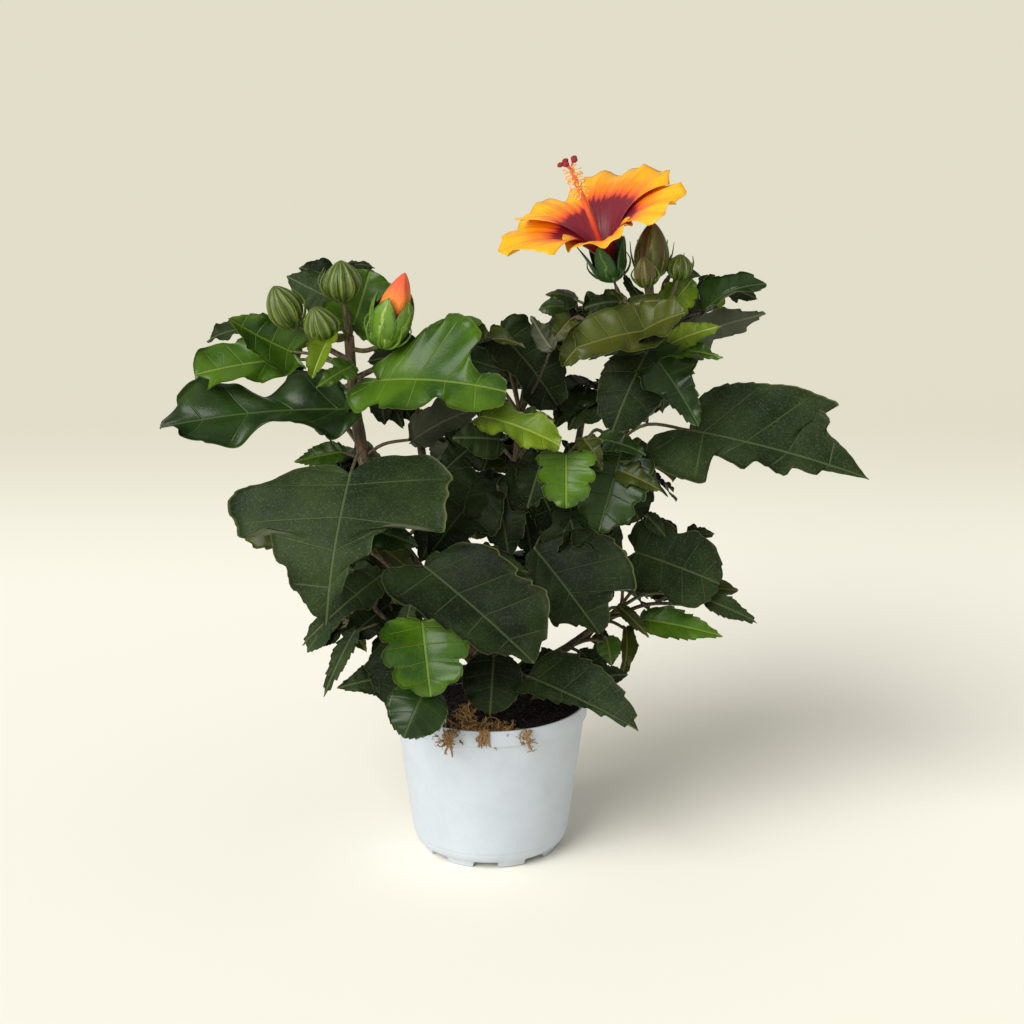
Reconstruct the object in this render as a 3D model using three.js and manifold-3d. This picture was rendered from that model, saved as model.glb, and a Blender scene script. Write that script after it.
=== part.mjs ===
// A potted hibiscus: a white plastic nursery pot, its soil, a short trunk with woody boughs,
// the masses of leaves they carry, one open bloom and its buds.
// Millimetres, +Z up. The origin is the middle of the pot's flat underside, and -Y is the front.
import * as THREE from 'three';
import { mergeVertices } from 'three/addons/utils/BufferGeometryUtils.js';
import Module from 'manifold-3d';

const wasm = await Module();
wasm.setup();

// Clearance left between two pieces that touch.
const GAP = 0.4;

// The pot.
const POT_HEIGHT = 105;
const RIM_RADIUS = 65;
const RIM_BAND = 11;
const RIM_STEP = 1.4;
const WALL = 1.6;
const BASE_RADIUS = 50.5;
const CORNER_RISE = 11;
const FOOT_RADIUS = 45.5;
const FOOT_INNER_RADIUS = 37;
const FOOT_HEIGHT = 4.5;
const FLOOR = 2;
const PAD_RADIUS = 13;
const NOTCHES = 8;
const NOTCH_WIDTH = 16;
const NOTCH_HEIGHT = 4;
const DRAINS = 6;
const DRAIN_RADIUS = 4;
const POT_SIDES = 32;

// The soil and the mat of fine roots that spills over the front of the rim.
const SOIL_TOP = 93;
const SOIL_UNEVEN = 2.5;

// The trunk and boughs.
const TRUNK_RADIUS = 8.5;
const TRUNK_FLARE = 4;
const FORK_HEIGHT = 132;
const TRUNK_FOOT = 80;
const LIMB_SIDES = 8;

// The heads of the two tall boughs, where the flowers and young leaves grow.
const LEFT_HEAD = [-91, 2, 354];
const RIGHT_HEAD = [107, 0, 352];

// The bloom.
const BLOOM_AXIS = new THREE.Vector3(-0.29, -0.07, 0.957).normalize();
const CALYX_FOOT = new THREE.Vector3(79, 0, 390);
const CALYX_LENGTH = 24;
const CALYX_RADIUS = 8.5;
const FUNNEL_FOOT = 13;
const BLOOM_RADIUS = 62;
const BLOOM_RISE = 48;
const PETALS = 5;
const PETAL_DIP = 0.09;
const PETAL_THICKNESS = 2.2;
const COLUMN_AXIS = new THREE.Vector3(-0.37, -0.06, 0.93).normalize();
const COLUMN_LENGTH = 67;
const COLUMN_RADIUS = 2;
const ANTHER_RADIUS = 7;

// The masses of leaves.
const LONG_MASS = 80;
const MASS_UNEVEN = 0.09;
const SHARPNESS = 13;

// ---------------------------------------------------------------- shared helpers

const solidOf = (geometry) => {
  const bare = geometry.clone();
  bare.deleteAttribute('normal');
  bare.deleteAttribute('uv');
  const merged = mergeVertices(bare, 1e-3);
  const mesh = new wasm.Mesh({
    numProp: 3,
    vertProperties: new Float32Array(merged.attributes.position.array),
    triVerts: new Uint32Array(merged.index.array),
  });
  return new wasm.Manifold(mesh);
};

const geometryOf = (solid) => {
  const { vertProperties, triVerts } = solid.getMesh();
  const geometry = new THREE.BufferGeometry();
  geometry.setAttribute('position', new THREE.BufferAttribute(vertProperties, 3));
  geometry.setIndex(new THREE.BufferAttribute(triVerts, 1));
  geometry.computeVertexNormals();
  return geometry;
};

// The largest piece that a cut leaves.
const largest = (solid) => {
  const pieces = solid.decompose();
  return pieces.reduce((a, b) => (a.volume() > b.volume() ? a : b));
};

const plant = new THREE.Group();
const add = (name, solid, material) => {
  const mesh = new THREE.Mesh(geometryOf(solid), material);
  mesh.name = name;
  plant.add(mesh);
};

const finish = (color, roughness) =>
  new THREE.MeshStandardMaterial({ color, roughness, metalness: 0 });

// A profile of [radius, height] pairs turned about the Z axis.
const turned = (profile, sides) => {
  const points = profile.map(([r, z]) => new THREE.Vector2(r, z));
  return new THREE.LatheGeometry(points, sides).rotateX(Math.PI / 2);
};

// Moves every vertex of a geometry with a function that changes the vector it is given.
const reshape = (geometry, move) => {
  const position = geometry.attributes.position;
  const v = new THREE.Vector3();
  for (let i = 0; i < position.count; i += 1) {
    v.fromBufferAttribute(position, i);
    move(v);
    position.setXYZ(i, v.x, v.y, v.z);
  }
  return geometry;
};

// Stands a geometry that was made along +Z along a direction, with its foot at a point.
const standOn = (geometry, foot, direction) => {
  const up = new THREE.Vector3(0, 0, 1);
  const turn = new THREE.Quaternion().setFromUnitVectors(up, direction);
  return geometry.applyQuaternion(turn).translate(foot.x, foot.y, foot.z);
};

// A round limb along a smooth curve, tapering from one radius to another.
const limb = (points, from, to, grow = 0, sides = LIMB_SIDES) => {
  const curve = new THREE.CatmullRomCurve3(points.map((p) => new THREE.Vector3(...p)));
  const rings = Math.max(2, 2 * (points.length - 1));
  const frames = curve.computeFrenetFrames(rings);
  const tube = new THREE.CylinderGeometry(1, 1, 1, sides, rings);
  return reshape(tube, (v) => {
    const t = v.y + 0.5;
    const ring = Math.round(t * rings);
    const radius = from + (to - from) * t + grow;
    const side = new THREE.Vector3();
    side.addScaledVector(frames.normals[ring], v.x * radius);
    side.addScaledVector(frames.binormals[ring], -v.z * radius);
    const reach = grow * (t < 0.01 ? -1 : t > 0.99 ? 1 : 0);
    v.copy(curve.getPointAt(t)).add(side).addScaledVector(frames.tangents[ring], reach);
  });
};

// ---------------------------------------------------------------- pot, soil and root mat

const wallRadius = (z) => {
  const t = (z - CORNER_RISE) / (POT_HEIGHT - CORNER_RISE);
  return BASE_RADIUS + (RIM_RADIUS - RIM_STEP - BASE_RADIUS) * t;
};

const potCorner = [0, 0.35, 0.7, 1].map((t) => {
  const turn = (t * Math.PI) / 2;
  const out = FOOT_RADIUS + (BASE_RADIUS - FOOT_RADIUS) * Math.sin(turn);
  return [out, CORNER_RISE * (1 - Math.cos(turn))];
});
const floorTop = FOOT_HEIGHT + FLOOR;
const pot = solidOf(
  turned(
    [
      [0, 0],
      [PAD_RADIUS, 0],
      [PAD_RADIUS, FOOT_HEIGHT],
      [FOOT_INNER_RADIUS, FOOT_HEIGHT],
      [FOOT_INNER_RADIUS, 0],
      ...potCorner,
      [wallRadius(POT_HEIGHT - RIM_BAND), POT_HEIGHT - RIM_BAND],
      [RIM_RADIUS, POT_HEIGHT - RIM_BAND + 1],
      [RIM_RADIUS, POT_HEIGHT],
      [RIM_RADIUS - RIM_STEP - WALL, POT_HEIGHT],
      [BASE_RADIUS - WALL, CORNER_RISE + FLOOR],
      [FOOT_RADIUS - WALL, floorTop],
      [0, floorTop],
    ],
    POT_SIDES,
  ),
);

const notch = () => {
  const half = NOTCH_WIDTH / 2;
  const shape = new THREE.Shape([
    new THREE.Vector2(-half, -1),
    new THREE.Vector2(half, -1),
    new THREE.Vector2(half - 2, NOTCH_HEIGHT),
    new THREE.Vector2(2 - half, NOTCH_HEIGHT),
  ]);
  const depth = 2 * (BASE_RADIUS - FOOT_INNER_RADIUS);
  const cutter = new THREE.ExtrudeGeometry(shape, { depth, bevelEnabled: false });
  return cutter.rotateX(Math.PI / 2).translate(0, -FOOT_INNER_RADIUS + 4, 0);
};
const drain = () => {
  const hole = new THREE.CylinderGeometry(DRAIN_RADIUS, DRAIN_RADIUS, 4 * FLOOR, 12);
  const out = (PAD_RADIUS + FOOT_INNER_RADIUS) / 2;
  return hole.rotateX(Math.PI / 2).translate(out, 0, floorTop);
};
let potBody = pot;
for (let i = 0; i < NOTCHES; i += 1) {
  potBody = potBody.subtract(solidOf(notch().rotateZ((i * 2 * Math.PI) / NOTCHES)));
}
for (let i = 0; i < DRAINS; i += 1) {
  potBody = potBody.subtract(solidOf(drain().rotateZ((i * 2 * Math.PI) / DRAINS)));
}
add('pot', potBody, finish('#eef1f3', 0.35));

// ---------------------------------------------------------------- trunk and boughs

const trunkPath = [
  [1, 7, TRUNK_FOOT],
  [0, 6, (TRUNK_FOOT + FORK_HEIGHT) / 2],
  [0, 5, FORK_HEIGHT],
];
const trunk = (grow) => {
  const shaft = limb(trunkPath, TRUNK_RADIUS, TRUNK_RADIUS - 1, grow, 10);
  return reshape(shaft, (v) => {
    const low = Math.max(0, 1 - (v.z - TRUNK_FOOT) / (FORK_HEIGHT - TRUNK_FOOT));
    const swell = 1 + (TRUNK_FLARE / TRUNK_RADIUS) * low * low;
    v.x *= swell;
    v.y = trunkPath[0][1] + (v.y - trunkPath[0][1]) * swell;
  });
};

// Each bough: its path from the trunk to its head, and its radius at each end.
const boughs = {
  left_bough: [[[-9, 4, 137], [-42, 2, 185], [-74, 0, 238], [-87, 0, 300], LEFT_HEAD], 6, 3.4],
  right_bough: [[[9, 6, 137], [34, 9, 185], [66, 8, 245], [94, 4, 305], RIGHT_HEAD], 5.8, 3.2],
  centre_bough: [[[0, 7, 136], [8, 14, 190], [16, 8, 250], [20, 6, 300]], 4.6, 2.6],
  back_left_bough: [[[-9, 14, 134], [-28, 46, 185], [-46, 76, 245], [-52, 88, 290]], 4.4, 2.4],
  back_right_bough: [[[9, 14, 134], [32, 50, 185], [56, 78, 240], [64, 90, 285]], 4.4, 2.4],
  low_left_bough: [[[-11, 2, 116], [-42, -8, 140], [-76, -16, 172]], 3.4, 2],
  low_right_bough: [[[11, 3, 116], [46, 0, 136], [88, 4, 168]], 3.4, 2],
  front_bough: [[[-2, -6, 118], [-18, -34, 150], [-40, -64, 190]], 3.2, 2],
  bloom_stalk: [[[104, 0, 359], [95, 0, 367], [80.5, 0, 386]], 1.6, 1.8],
};

const wood = finish('#6b4a34', 0.85);
const limbs = [['trunk', trunk]];
for (const [name, [points, from, to]] of Object.entries(boughs)) {
  limbs.push([name, (grow) => limb(points, from, to, grow)]);
}
// What later pieces are cut back from: every piece so far, grown by the clearance.
let taken = null;
const take = (solid) => {
  taken = taken ? taken.add(solid) : solid;
};
for (const [name, make] of limbs) {
  const solid = solidOf(make(0));
  add(name, taken ? largest(solid.subtract(taken)) : solid, wood);
  take(solidOf(make(GAP)));
}

// ---------------------------------------------------------------- soil

const soilProfile = (grow) => [
  [0, floorTop + GAP],
  [FOOT_RADIUS - WALL - 3, floorTop + GAP],
  [BASE_RADIUS - WALL - GAP - 1, CORNER_RISE + FLOOR],
  [wallRadius(SOIL_TOP) - WALL - GAP - 1, SOIL_TOP + grow],
  [RIM_RADIUS * 0.6, SOIL_TOP + 1 + grow],
  [RIM_RADIUS * 0.3, SOIL_TOP + 2 + grow],
  [0, SOIL_TOP + 2 + grow],
];
const soil = (grow) =>
  reshape(turned(soilProfile(grow), 20), (v) => {
    if (v.z > SOIL_TOP) v.z += SOIL_UNEVEN * Math.sin(v.x / 9) * Math.cos(v.y / 7);
  });
add('soil', largest(solidOf(soil(0)).subtract(taken)), finish('#2b2119', 1));
take(solidOf(soil(GAP)));
take(
  solidOf(
    turned(
      [
        [0, floorTop],
        [BASE_RADIUS, floorTop],
        [RIM_RADIUS + GAP, POT_HEIGHT - RIM_BAND - GAP],
        [RIM_RADIUS + GAP, POT_HEIGHT + GAP],
        [0, POT_HEIGHT + GAP],
      ],
      POT_SIDES,
    ),
  ),
);

// ---------------------------------------------------------------- bloom and buds

const onBloomAxis = (along) => CALYX_FOOT.clone().addScaledVector(BLOOM_AXIS, along);

const calyx = turned(
  [
    [0, 0],
    [CALYX_RADIUS * 0.45, 0],
    [CALYX_RADIUS, CALYX_LENGTH * 0.25],
    [CALYX_RADIUS, CALYX_LENGTH * 0.5],
    [CALYX_RADIUS * 0.6, FUNNEL_FOOT - GAP],
    [0, FUNNEL_FOOT - GAP],
  ],
  10,
);

// The funnel of joined petals: a thin shell that flares from its foot to a wavy rim.
const funnelRadius = (t) => CALYX_RADIUS * 0.6 + (BLOOM_RADIUS - CALYX_RADIUS * 0.6) * t ** 1.7;
const funnelSteps = [0, 0.35, 0.6, 0.8, 1];
const funnelWall = (inset) =>
  funnelSteps.map((t) => [
    Math.max(funnelRadius(t) - inset, 0.6),
    FUNNEL_FOOT + (BLOOM_RISE - FUNNEL_FOOT) * Math.sin((t * Math.PI) / 2) + inset,
  ]);
const funnelProfile = [
  [0, FUNNEL_FOOT],
  ...funnelWall(0),
  ...funnelWall(PETAL_THICKNESS).reverse(),
  [0, FUNNEL_FOOT + PETAL_THICKNESS],
];
const funnel = reshape(turned(funnelProfile, 5 * PETALS), (v) => {
  const out = Math.hypot(v.x, v.y) / BLOOM_RADIUS;
  const turn = Math.atan2(v.y, v.x);
  const dip = 1 - PETAL_DIP * out * (1 + Math.cos(PETALS * turn));
  v.x *= dip;
  v.y *= dip;
  v.z += 3 * out * out * Math.sin(2 * PETALS * turn + 1);
});
const columnFoot = FUNNEL_FOOT + PETAL_THICKNESS + GAP;
const column = turned(
  [
    [0, 0],
    [COLUMN_RADIUS, 0],
    [COLUMN_RADIUS * 0.8, COLUMN_LENGTH * 0.55],
    [ANTHER_RADIUS, COLUMN_LENGTH * 0.68],
    [ANTHER_RADIUS, COLUMN_LENGTH * 0.85],
    [COLUMN_RADIUS, COLUMN_LENGTH * 0.93],
    [COLUMN_RADIUS * 1.4, COLUMN_LENGTH],
    [0, COLUMN_LENGTH],
  ],
  10,
);

// A bud: an egg of its own length and radius, leaning along a direction from its foot.
const bud = (length, radius) =>
  turned(
    [0, 0.18, 0.4, 0.65, 0.85, 1].map((t) => [
      radius * Math.sin(Math.PI * t ** 0.8),
      length * t,
    ]),
    8,
  );

// Each bud: its foot, where it points, its length and its radius.
const buds = {
  bud_left_outer: [[-126, -13, 363], [-0.45, -0.1, 1], 30, 11],
  bud_left_top: [[-94, -1, 377], [-0.05, 0, 1], 27, 12],
  bud_left_front: [[-105, -25, 358], [-0.3, -0.3, 1], 24, 10],
  bud_opening: [[-67, -14, 350], [0.25, -0.1, 1], 50, 15],
  bud_right_tall: [[104, 4, 391], [0.02, 0, 1], 37, 11],
  bud_right_front: [[100, -13, 390], [-0.1, -0.2, 1], 20, 7],
  bud_right_outer: [[122, 4, 391], [0.1, 0, 1], 16, 8],
};

const flowerPieces = [
  ['calyx', standOn(calyx, onBloomAxis(0), BLOOM_AXIS), '#6f8f3a', 0.6],
  ['petals', standOn(funnel, onBloomAxis(0), BLOOM_AXIS), '#f59b1a', 0.6],
  ['column', standOn(column, onBloomAxis(columnFoot), COLUMN_AXIS), '#d8322a', 0.5],
];
for (const [name, [foot, towards, length, radius]] of Object.entries(buds)) {
  const direction = new THREE.Vector3(...towards).normalize();
  const shape = standOn(bud(length, radius), new THREE.Vector3(...foot), direction);
  flowerPieces.push([name, shape, '#6f8f3a', 0.6]);
}
for (const [name, geometry, color, roughness] of flowerPieces) {
  const solid = solidOf(geometry);
  add(name, largest(solid.subtract(taken)), finish(color, roughness));
  take(solid);
}

// ---------------------------------------------------------------- masses of leaves

const ball = (detail) => {
  const geometry = new THREE.IcosahedronGeometry(1, detail);
  geometry.deleteAttribute('normal');
  geometry.deleteAttribute('uv');
  return mergeVertices(geometry, 1e-4);
};

// One uneven closed mass. It lies from its base to its tip, with a width across and a thickness
// along its face direction, and its skin is drawn out to a point at its tip and at each lobe.
const mass = ({ base, tip, width, thick, face, lobes = [] }, grow) => {
  const foot = new THREE.Vector3(...base);
  const end = new THREE.Vector3(...tip);
  const along = end.clone().sub(foot);
  const half = new THREE.Vector3(along.length() / 2, width / 2, thick / 2);
  along.normalize();
  const up = new THREE.Vector3(...face).projectOnPlane(along).normalize();
  const across = up.clone().cross(along);
  const middle = foot.clone().add(end).divideScalar(2);
  const place = new THREE.Matrix4().makeBasis(along, across, up).setPosition(middle);
  const backToLocal = place.clone().invert();
  const points = [end, ...lobes.map((p) => new THREE.Vector3(...p))];
  const reaches = points.map((p) => p.applyMatrix4(backToLocal).divide(half));
  const skin = ball(half.x * 2 > LONG_MASS ? 2 : 1);
  const position = skin.attributes.position;
  const v = new THREE.Vector3();
  const nearest = reaches.map((reach) => {
    const towards = reach.clone().normalize();
    let best = 0;
    for (let i = 1; i < position.count; i += 1) {
      const here = v.fromBufferAttribute(position, i).dot(towards);
      if (here > new THREE.Vector3().fromBufferAttribute(position, best).dot(towards)) best = i;
    }
    return best;
  });
  const phase = middle.x + 2 * middle.y + 3 * middle.z;
  for (let i = 0; i < position.count; i += 1) {
    v.fromBufferAttribute(position, i).normalize();
    let size = 1 - MASS_UNEVEN;
    size += MASS_UNEVEN * Math.sin(5 * v.x + phase) * Math.cos(4 * v.y + 3 * v.z + phase);
    for (const reach of reaches) {
      const length = reach.length();
      size += (length - size) * Math.exp(-SHARPNESS * (1 - v.dot(reach) / length));
    }
    v.multiplyScalar(size);
    const pulled = nearest.indexOf(i);
    if (pulled >= 0) v.copy(reaches[pulled]);
    const swollen = v.clone().normalize().multiplyScalar(grow);
    v.multiply(half).add(swollen);
    position.setXYZ(i, v.x, v.y, v.z);
  }
  return skin.applyMatrix4(place);
};

// Each mass: where it joins its bough, its furthest tip, its width and thickness, the way its
// broad side faces, and the further points that its leaves reach.
const shape = (base, tip, [width, thick], face, ...lobes) => ({
  base,
  tip,
  width,
  thick,
  face,
  lobes,
});
const masses = {
  left_arm: shape([-106, -6, 320], [-219, -12, 291], [46, 18], [-0.1, -0.6, 1], [-176, -14, 284]),
  left_crown_front: shape(
    [-90, -18, 352],
    [12, -48, 332],
    [56, 26],
    [0.2, -0.6, 0.8],
    [-16, -36, 368],
    [-32, -56, 306],
  ),
  left_crown_inner: shape([-90, -14, 358], [-112, -48, 322], [44, 24], [0, -0.8, 0.6]),
  left_crown_outer: shape([-118, 4, 358], [-194, 8, 328], [52, 30], [-0.3, -0.3, 1], [-150, -2, 374]),
  left_crown_back: shape([-62, 24, 376], [-137, 36, 372], [56, 34], [0, -0.4, 1], [-104, 44, 398]),
  left_under: shape([-96, 6, 322], [-120, 14, 268], [44, 26], [-0.4, -0.8, 0.2]),
  centre_shade: shape([-66, 8, 322], [22, 14, 312], [50, 36], [0, -0.5, 0.9]),
  centre_crown: shape([-6, 18, 350], [62, 20, 306], [62, 42], [0.1, -0.5, 0.8], [-4, 22, 362]),
  centre_front: shape([-4, -34, 308], [47, -60, 286], [30, 18], [0, -0.6, 0.8]),
  centre_fan: shape([66, -24, 290], [38, -52, 250], [44, 22], [0.2, -0.9, 0.3]),
  centre_right: shape([84, -12, 292], [88, -38, 228], [52, 28], [0.2, -0.9, 0.4], [112, -26, 254]),
  right_crown_front: shape([120, -28, 386], [57, -60, 366], [40, 22], [0, -0.6, 0.8]),
  right_crown_left: shape([88, -4, 372], [26, 8, 342], [58, 38], [0, -0.5, 0.8], [34, 4, 386]),
  right_drop: shape([98, -26, 356], [118, -54, 302], [60, 24], [-0.3, -0.9, 0.4], [134, -52, 312]),
  right_crown_inner: shape([112, -14, 356], [150, -36, 354], [40, 26], [0.1, -0.6, 0.8]),
  right_crown_outer: shape([124, 8, 372], [180, 4, 380], [50, 36], [0.1, -0.5, 0.9], [164, 2, 398]),
  right_crown_top: shape([92, 10, 385], [140, 12, 391], [30, 16], [0, -0.5, 1]),
  right_arm: shape(
    [112, -6, 292],
    [248, -18, 257],
    [54, 16],
    [0.1, -0.6, 0.8],
    [206, 6, 312],
    [134, -34, 246],
  ),
  front_left: shape(
    [-88, -54, 290],
    [-104, -98, 186],
    [82, 20],
    [0, -0.8, 0.6],
    [-168, -62, 240],
    [-26, -84, 242],
    [-140, -60, 268],
  ),
  front_centre: shape([-62, -74, 228], [36, -114, 172], [66, 20], [0, -0.7, 0.7]),
  heart: shape([4, 2, 268], [-24, -24, 204], [70, 42], [0, -0.9, 0.4]),
  front_right: shape([30, -22, 250], [78, -58, 164], [64, 28], [0.1, -0.9, 0.5], [94, -50, 200]),
  low_front: shape([-58, -74, 204], [-50, -104, 112], [56, 24], [0, -1, 0.2]),
  low_arrow: shape([6, -42, 150], [97, -84, 110], [44, 18], [0.2, -0.7, 0.7]),
  low_left: shape([-70, -12, 202], [-126, -36, 146], [56, 32], [-0.3, -0.9, 0.3], [-112, -28, 114]),
  right_low_round: shape([94, 6, 210], [157, 10, 192], [52, 22], [0.2, -0.9, 0.4]),
  right_low_long: shape([92, 8, 172], [179, 8, 152], [36, 26], [0.1, -0.8, 0.6]),
  right_low_hang: shape([66, -4, 168], [88, -18, 122], [34, 20], [0.1, -1, 0.2]),
};
const leafGreen = finish('#2f4a26', 0.55);
for (const [name, form] of Object.entries(masses)) {
  const solid = solidOf(mass(form, 0));
  add(name, largest(solid.subtract(taken)), leafGreen);
  take(solidOf(mass(form, GAP)));
}

// The far side of the crown: three tiers of masses fanned round the back.
const BACK_TIERS = [
  { name: 'back_high', height: 322, near: 58, far: 122, fall: 34, width: 84, thick: 34 },
  { name: 'back_middle', height: 262, near: 62, far: 146, fall: 30, width: 92, thick: 34 },
  { name: 'back_low', height: 188, near: 58, far: 128, fall: 44, width: 84, thick: 34 },
];
const BACK_TURNS = [35, 90, 145];
for (const { name, height, near, far, fall, width, thick } of BACK_TIERS) {
  BACK_TURNS.forEach((turn, i) => {
    const angle = THREE.MathUtils.degToRad(turn);
    const at = (radius, z) => [radius * Math.cos(angle), radius * Math.sin(angle), z];
    const outwards = [Math.cos(angle), Math.sin(angle), 1.6];
    const form = shape(at(near, height), at(far, height - fall), [width, thick], outwards);
    const solid = solidOf(mass(form, 0));
    add(`${name}_${i + 1}`, largest(solid.subtract(taken)), leafGreen);
    take(solidOf(mass(form, GAP)));
  });
}

export default plant;
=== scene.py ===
# A potted hibiscus: a white nursery pot of peat, woody boughs, sprays of lobed leaves,
# one open bloom and its buds. Metres, +Z up, the front of the plant faces -Y.
import math

import bpy
import numpy as np
from mathutils import Matrix, Vector


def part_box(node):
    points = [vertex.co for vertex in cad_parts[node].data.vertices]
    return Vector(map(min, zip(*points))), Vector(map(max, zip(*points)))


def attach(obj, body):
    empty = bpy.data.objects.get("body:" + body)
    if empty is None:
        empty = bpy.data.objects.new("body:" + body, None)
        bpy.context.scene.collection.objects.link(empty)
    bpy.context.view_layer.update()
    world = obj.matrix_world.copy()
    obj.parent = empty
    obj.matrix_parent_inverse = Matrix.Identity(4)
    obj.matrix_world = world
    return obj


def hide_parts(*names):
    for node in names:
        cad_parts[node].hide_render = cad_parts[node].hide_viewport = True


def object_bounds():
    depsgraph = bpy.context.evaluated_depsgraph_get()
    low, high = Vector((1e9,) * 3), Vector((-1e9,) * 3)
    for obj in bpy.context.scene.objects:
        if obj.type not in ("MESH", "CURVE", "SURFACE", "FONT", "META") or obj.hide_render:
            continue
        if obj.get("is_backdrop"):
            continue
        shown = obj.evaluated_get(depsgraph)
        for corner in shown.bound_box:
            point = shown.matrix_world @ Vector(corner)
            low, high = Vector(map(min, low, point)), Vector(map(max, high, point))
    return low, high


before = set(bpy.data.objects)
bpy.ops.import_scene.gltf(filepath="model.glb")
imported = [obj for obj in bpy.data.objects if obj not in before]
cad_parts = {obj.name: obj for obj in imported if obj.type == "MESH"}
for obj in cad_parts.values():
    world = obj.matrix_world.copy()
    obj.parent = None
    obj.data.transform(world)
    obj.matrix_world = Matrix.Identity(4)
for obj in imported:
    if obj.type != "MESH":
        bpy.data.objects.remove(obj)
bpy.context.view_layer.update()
MM = 0.001
UP = np.array([0.0, 0.0, 1.0])


# ------------------------------------------------------------------ places in the frame
def corners(node):
    low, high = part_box(node)
    return np.array(low), np.array(high)


def spot(node, part):
    """A point of a node's box, given as three shares of its width, depth and height."""
    low, high = corners(node)
    return low + (high - low) * np.array(part)


def cad_points(node):
    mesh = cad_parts[node].data
    found = np.empty(len(mesh.vertices) * 3)
    mesh.vertices.foreach_get("co", found)
    return found.reshape(-1, 3)


def unit(v):
    v = np.asarray(v, float)
    return v / (np.linalg.norm(v) + 1e-12)


def centre_line(node, steps):
    """Centres and radii of a limb that rises all the way, cut at even heights."""
    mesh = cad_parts[node].data
    points = cad_points(node)
    ends = np.array([e.vertices[:] for e in mesh.edges])
    a, b = points[ends[:, 0]], points[ends[:, 1]]
    low, high = points[:, 2].min(), points[:, 2].max()
    centres, radii = [], []
    for share in np.linspace(0.03, 0.97, steps):
        z = low + (high - low) * share
        cut = (a[:, 2] - z) * (b[:, 2] - z) < 0
        t = ((z - a[cut, 2]) / (b[cut, 2] - a[cut, 2]))[:, None]
        ring = a[cut] + (b[cut] - a[cut]) * t
        middle = (ring.min(0) + ring.max(0)) / 2
        centres.append(middle)
        radii.append(np.linalg.norm(ring - middle, axis=1).min())
    return np.array(centres), np.array(radii)


# ------------------------------------------------------------------ meshes from arrays
class Sheaf:
    """Gathers the faces of one joined piece, with its UV maps and material numbers."""

    def __init__(self, maps=()):
        self.points, self.loops, self.sizes, self.wears = [], [], [], []
        self.maps = {name: [] for name in maps}
        self.count = 0

    def add(self, points, faces, wear=0, **maps):
        """faces is a list of index lists, and each map holds one row for each corner."""
        points = np.asarray(points, float)
        self.points.append(points)
        self.loops.append(np.concatenate([np.asarray(f).ravel() for f in faces]) + self.count)
        self.sizes.append(np.concatenate([np.full(len(f), np.asarray(f).shape[1]) for f in faces]))
        faces_here = sum(len(f) for f in faces)
        self.wears.append(np.broadcast_to(np.asarray(wear), (faces_here,)).copy())
        for name, rows in maps.items():
            self.maps[name].append(np.asarray(rows, float))
        self.count += len(points)

    def piece(self, name, materials):
        points = np.concatenate(self.points)
        loops = np.concatenate(self.loops).astype(np.int32)
        sizes = np.concatenate(self.sizes).astype(np.int32)
        mesh = bpy.data.meshes.new(name)
        mesh.vertices.add(len(points))
        mesh.vertices.foreach_set("co", points.ravel())
        mesh.loops.add(len(loops))
        mesh.loops.foreach_set("vertex_index", loops)
        mesh.polygons.add(len(sizes))
        starts = np.concatenate([[0], np.cumsum(sizes)[:-1]]).astype(np.int32)
        mesh.polygons.foreach_set("loop_start", starts)
        mesh.polygons.foreach_set("material_index", np.concatenate(self.wears).astype(np.int32))
        mesh.polygons.foreach_set("use_smooth", np.full(len(sizes), True))
        for map_name, rows in self.maps.items():
            layer = mesh.uv_layers.new(name=map_name)
            layer.data.foreach_set("uv", np.concatenate(rows).astype(np.float32).ravel())
        mesh.update(calc_edges=True)
        mesh.validate()
        for material in materials:
            mesh.materials.append(material)
        made = bpy.data.objects.new(name, mesh)
        bpy.context.scene.collection.objects.link(made)
        return made


def grid_faces(rows, columns, closed=False):
    """Quads over a grid of points, row after row; closed joins each row's ends."""
    r = np.arange(rows - 1)[:, None]
    c = np.arange(columns if closed else columns - 1)[None, :]
    after = (c + 1) % columns
    quads = [r * columns + c, r * columns + after, (r + 1) * columns + after, (r + 1) * columns + c]
    return np.stack(np.broadcast_arrays(*quads), -1).reshape(-1, 4)


def border(rows, columns):
    """The outer points of a grid, in order round it."""
    k = np.arange(rows * columns).reshape(rows, columns)
    return np.concatenate([k[0], k[1:, -1], k[-1, -2::-1], k[-2:0:-1, 0]])


def smooth_path(points, count):
    """Evenly spaced points on the smooth curve through the given ones."""
    p = np.asarray(points, float)
    p = np.vstack([2 * p[0] - p[1], p, 2 * p[-1] - p[-2]])
    t = np.linspace(0, 1, 12, endpoint=False)[:, None]
    run = []
    for a, b, c, d in zip(p[:-3], p[1:-2], p[2:-1], p[3:]):
        square = (2 * a - 5 * b + 4 * c - d) * t**2
        cube = (3 * b - a - 3 * c + d) * t**3
        run.append(0.5 * (2 * b + (c - a) * t + square + cube))
    run = np.vstack(run + [p[-2][None]])
    gone = np.concatenate([[0], np.cumsum(np.linalg.norm(np.diff(run, axis=0), axis=1))])
    even = np.linspace(0, gone[-1], count)
    return np.stack([np.interp(even, gone, run[:, k]) for k in range(p.shape[1])], -1)


def ring_frames(path):
    """Two directions across a path at each of its points, turning as little as they can."""
    along = np.gradient(path, axis=0)
    along /= np.linalg.norm(along, axis=1)[:, None] + 1e-12
    side = unit(np.cross(along[0], UP if abs(along[0][2]) < 0.9 else [1, 0, 0]))
    sides = []
    for direction in along:
        side = unit(side - direction * side.dot(direction))
        sides.append(side)
    sides = np.array(sides)
    return sides, np.cross(along, sides)


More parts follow.
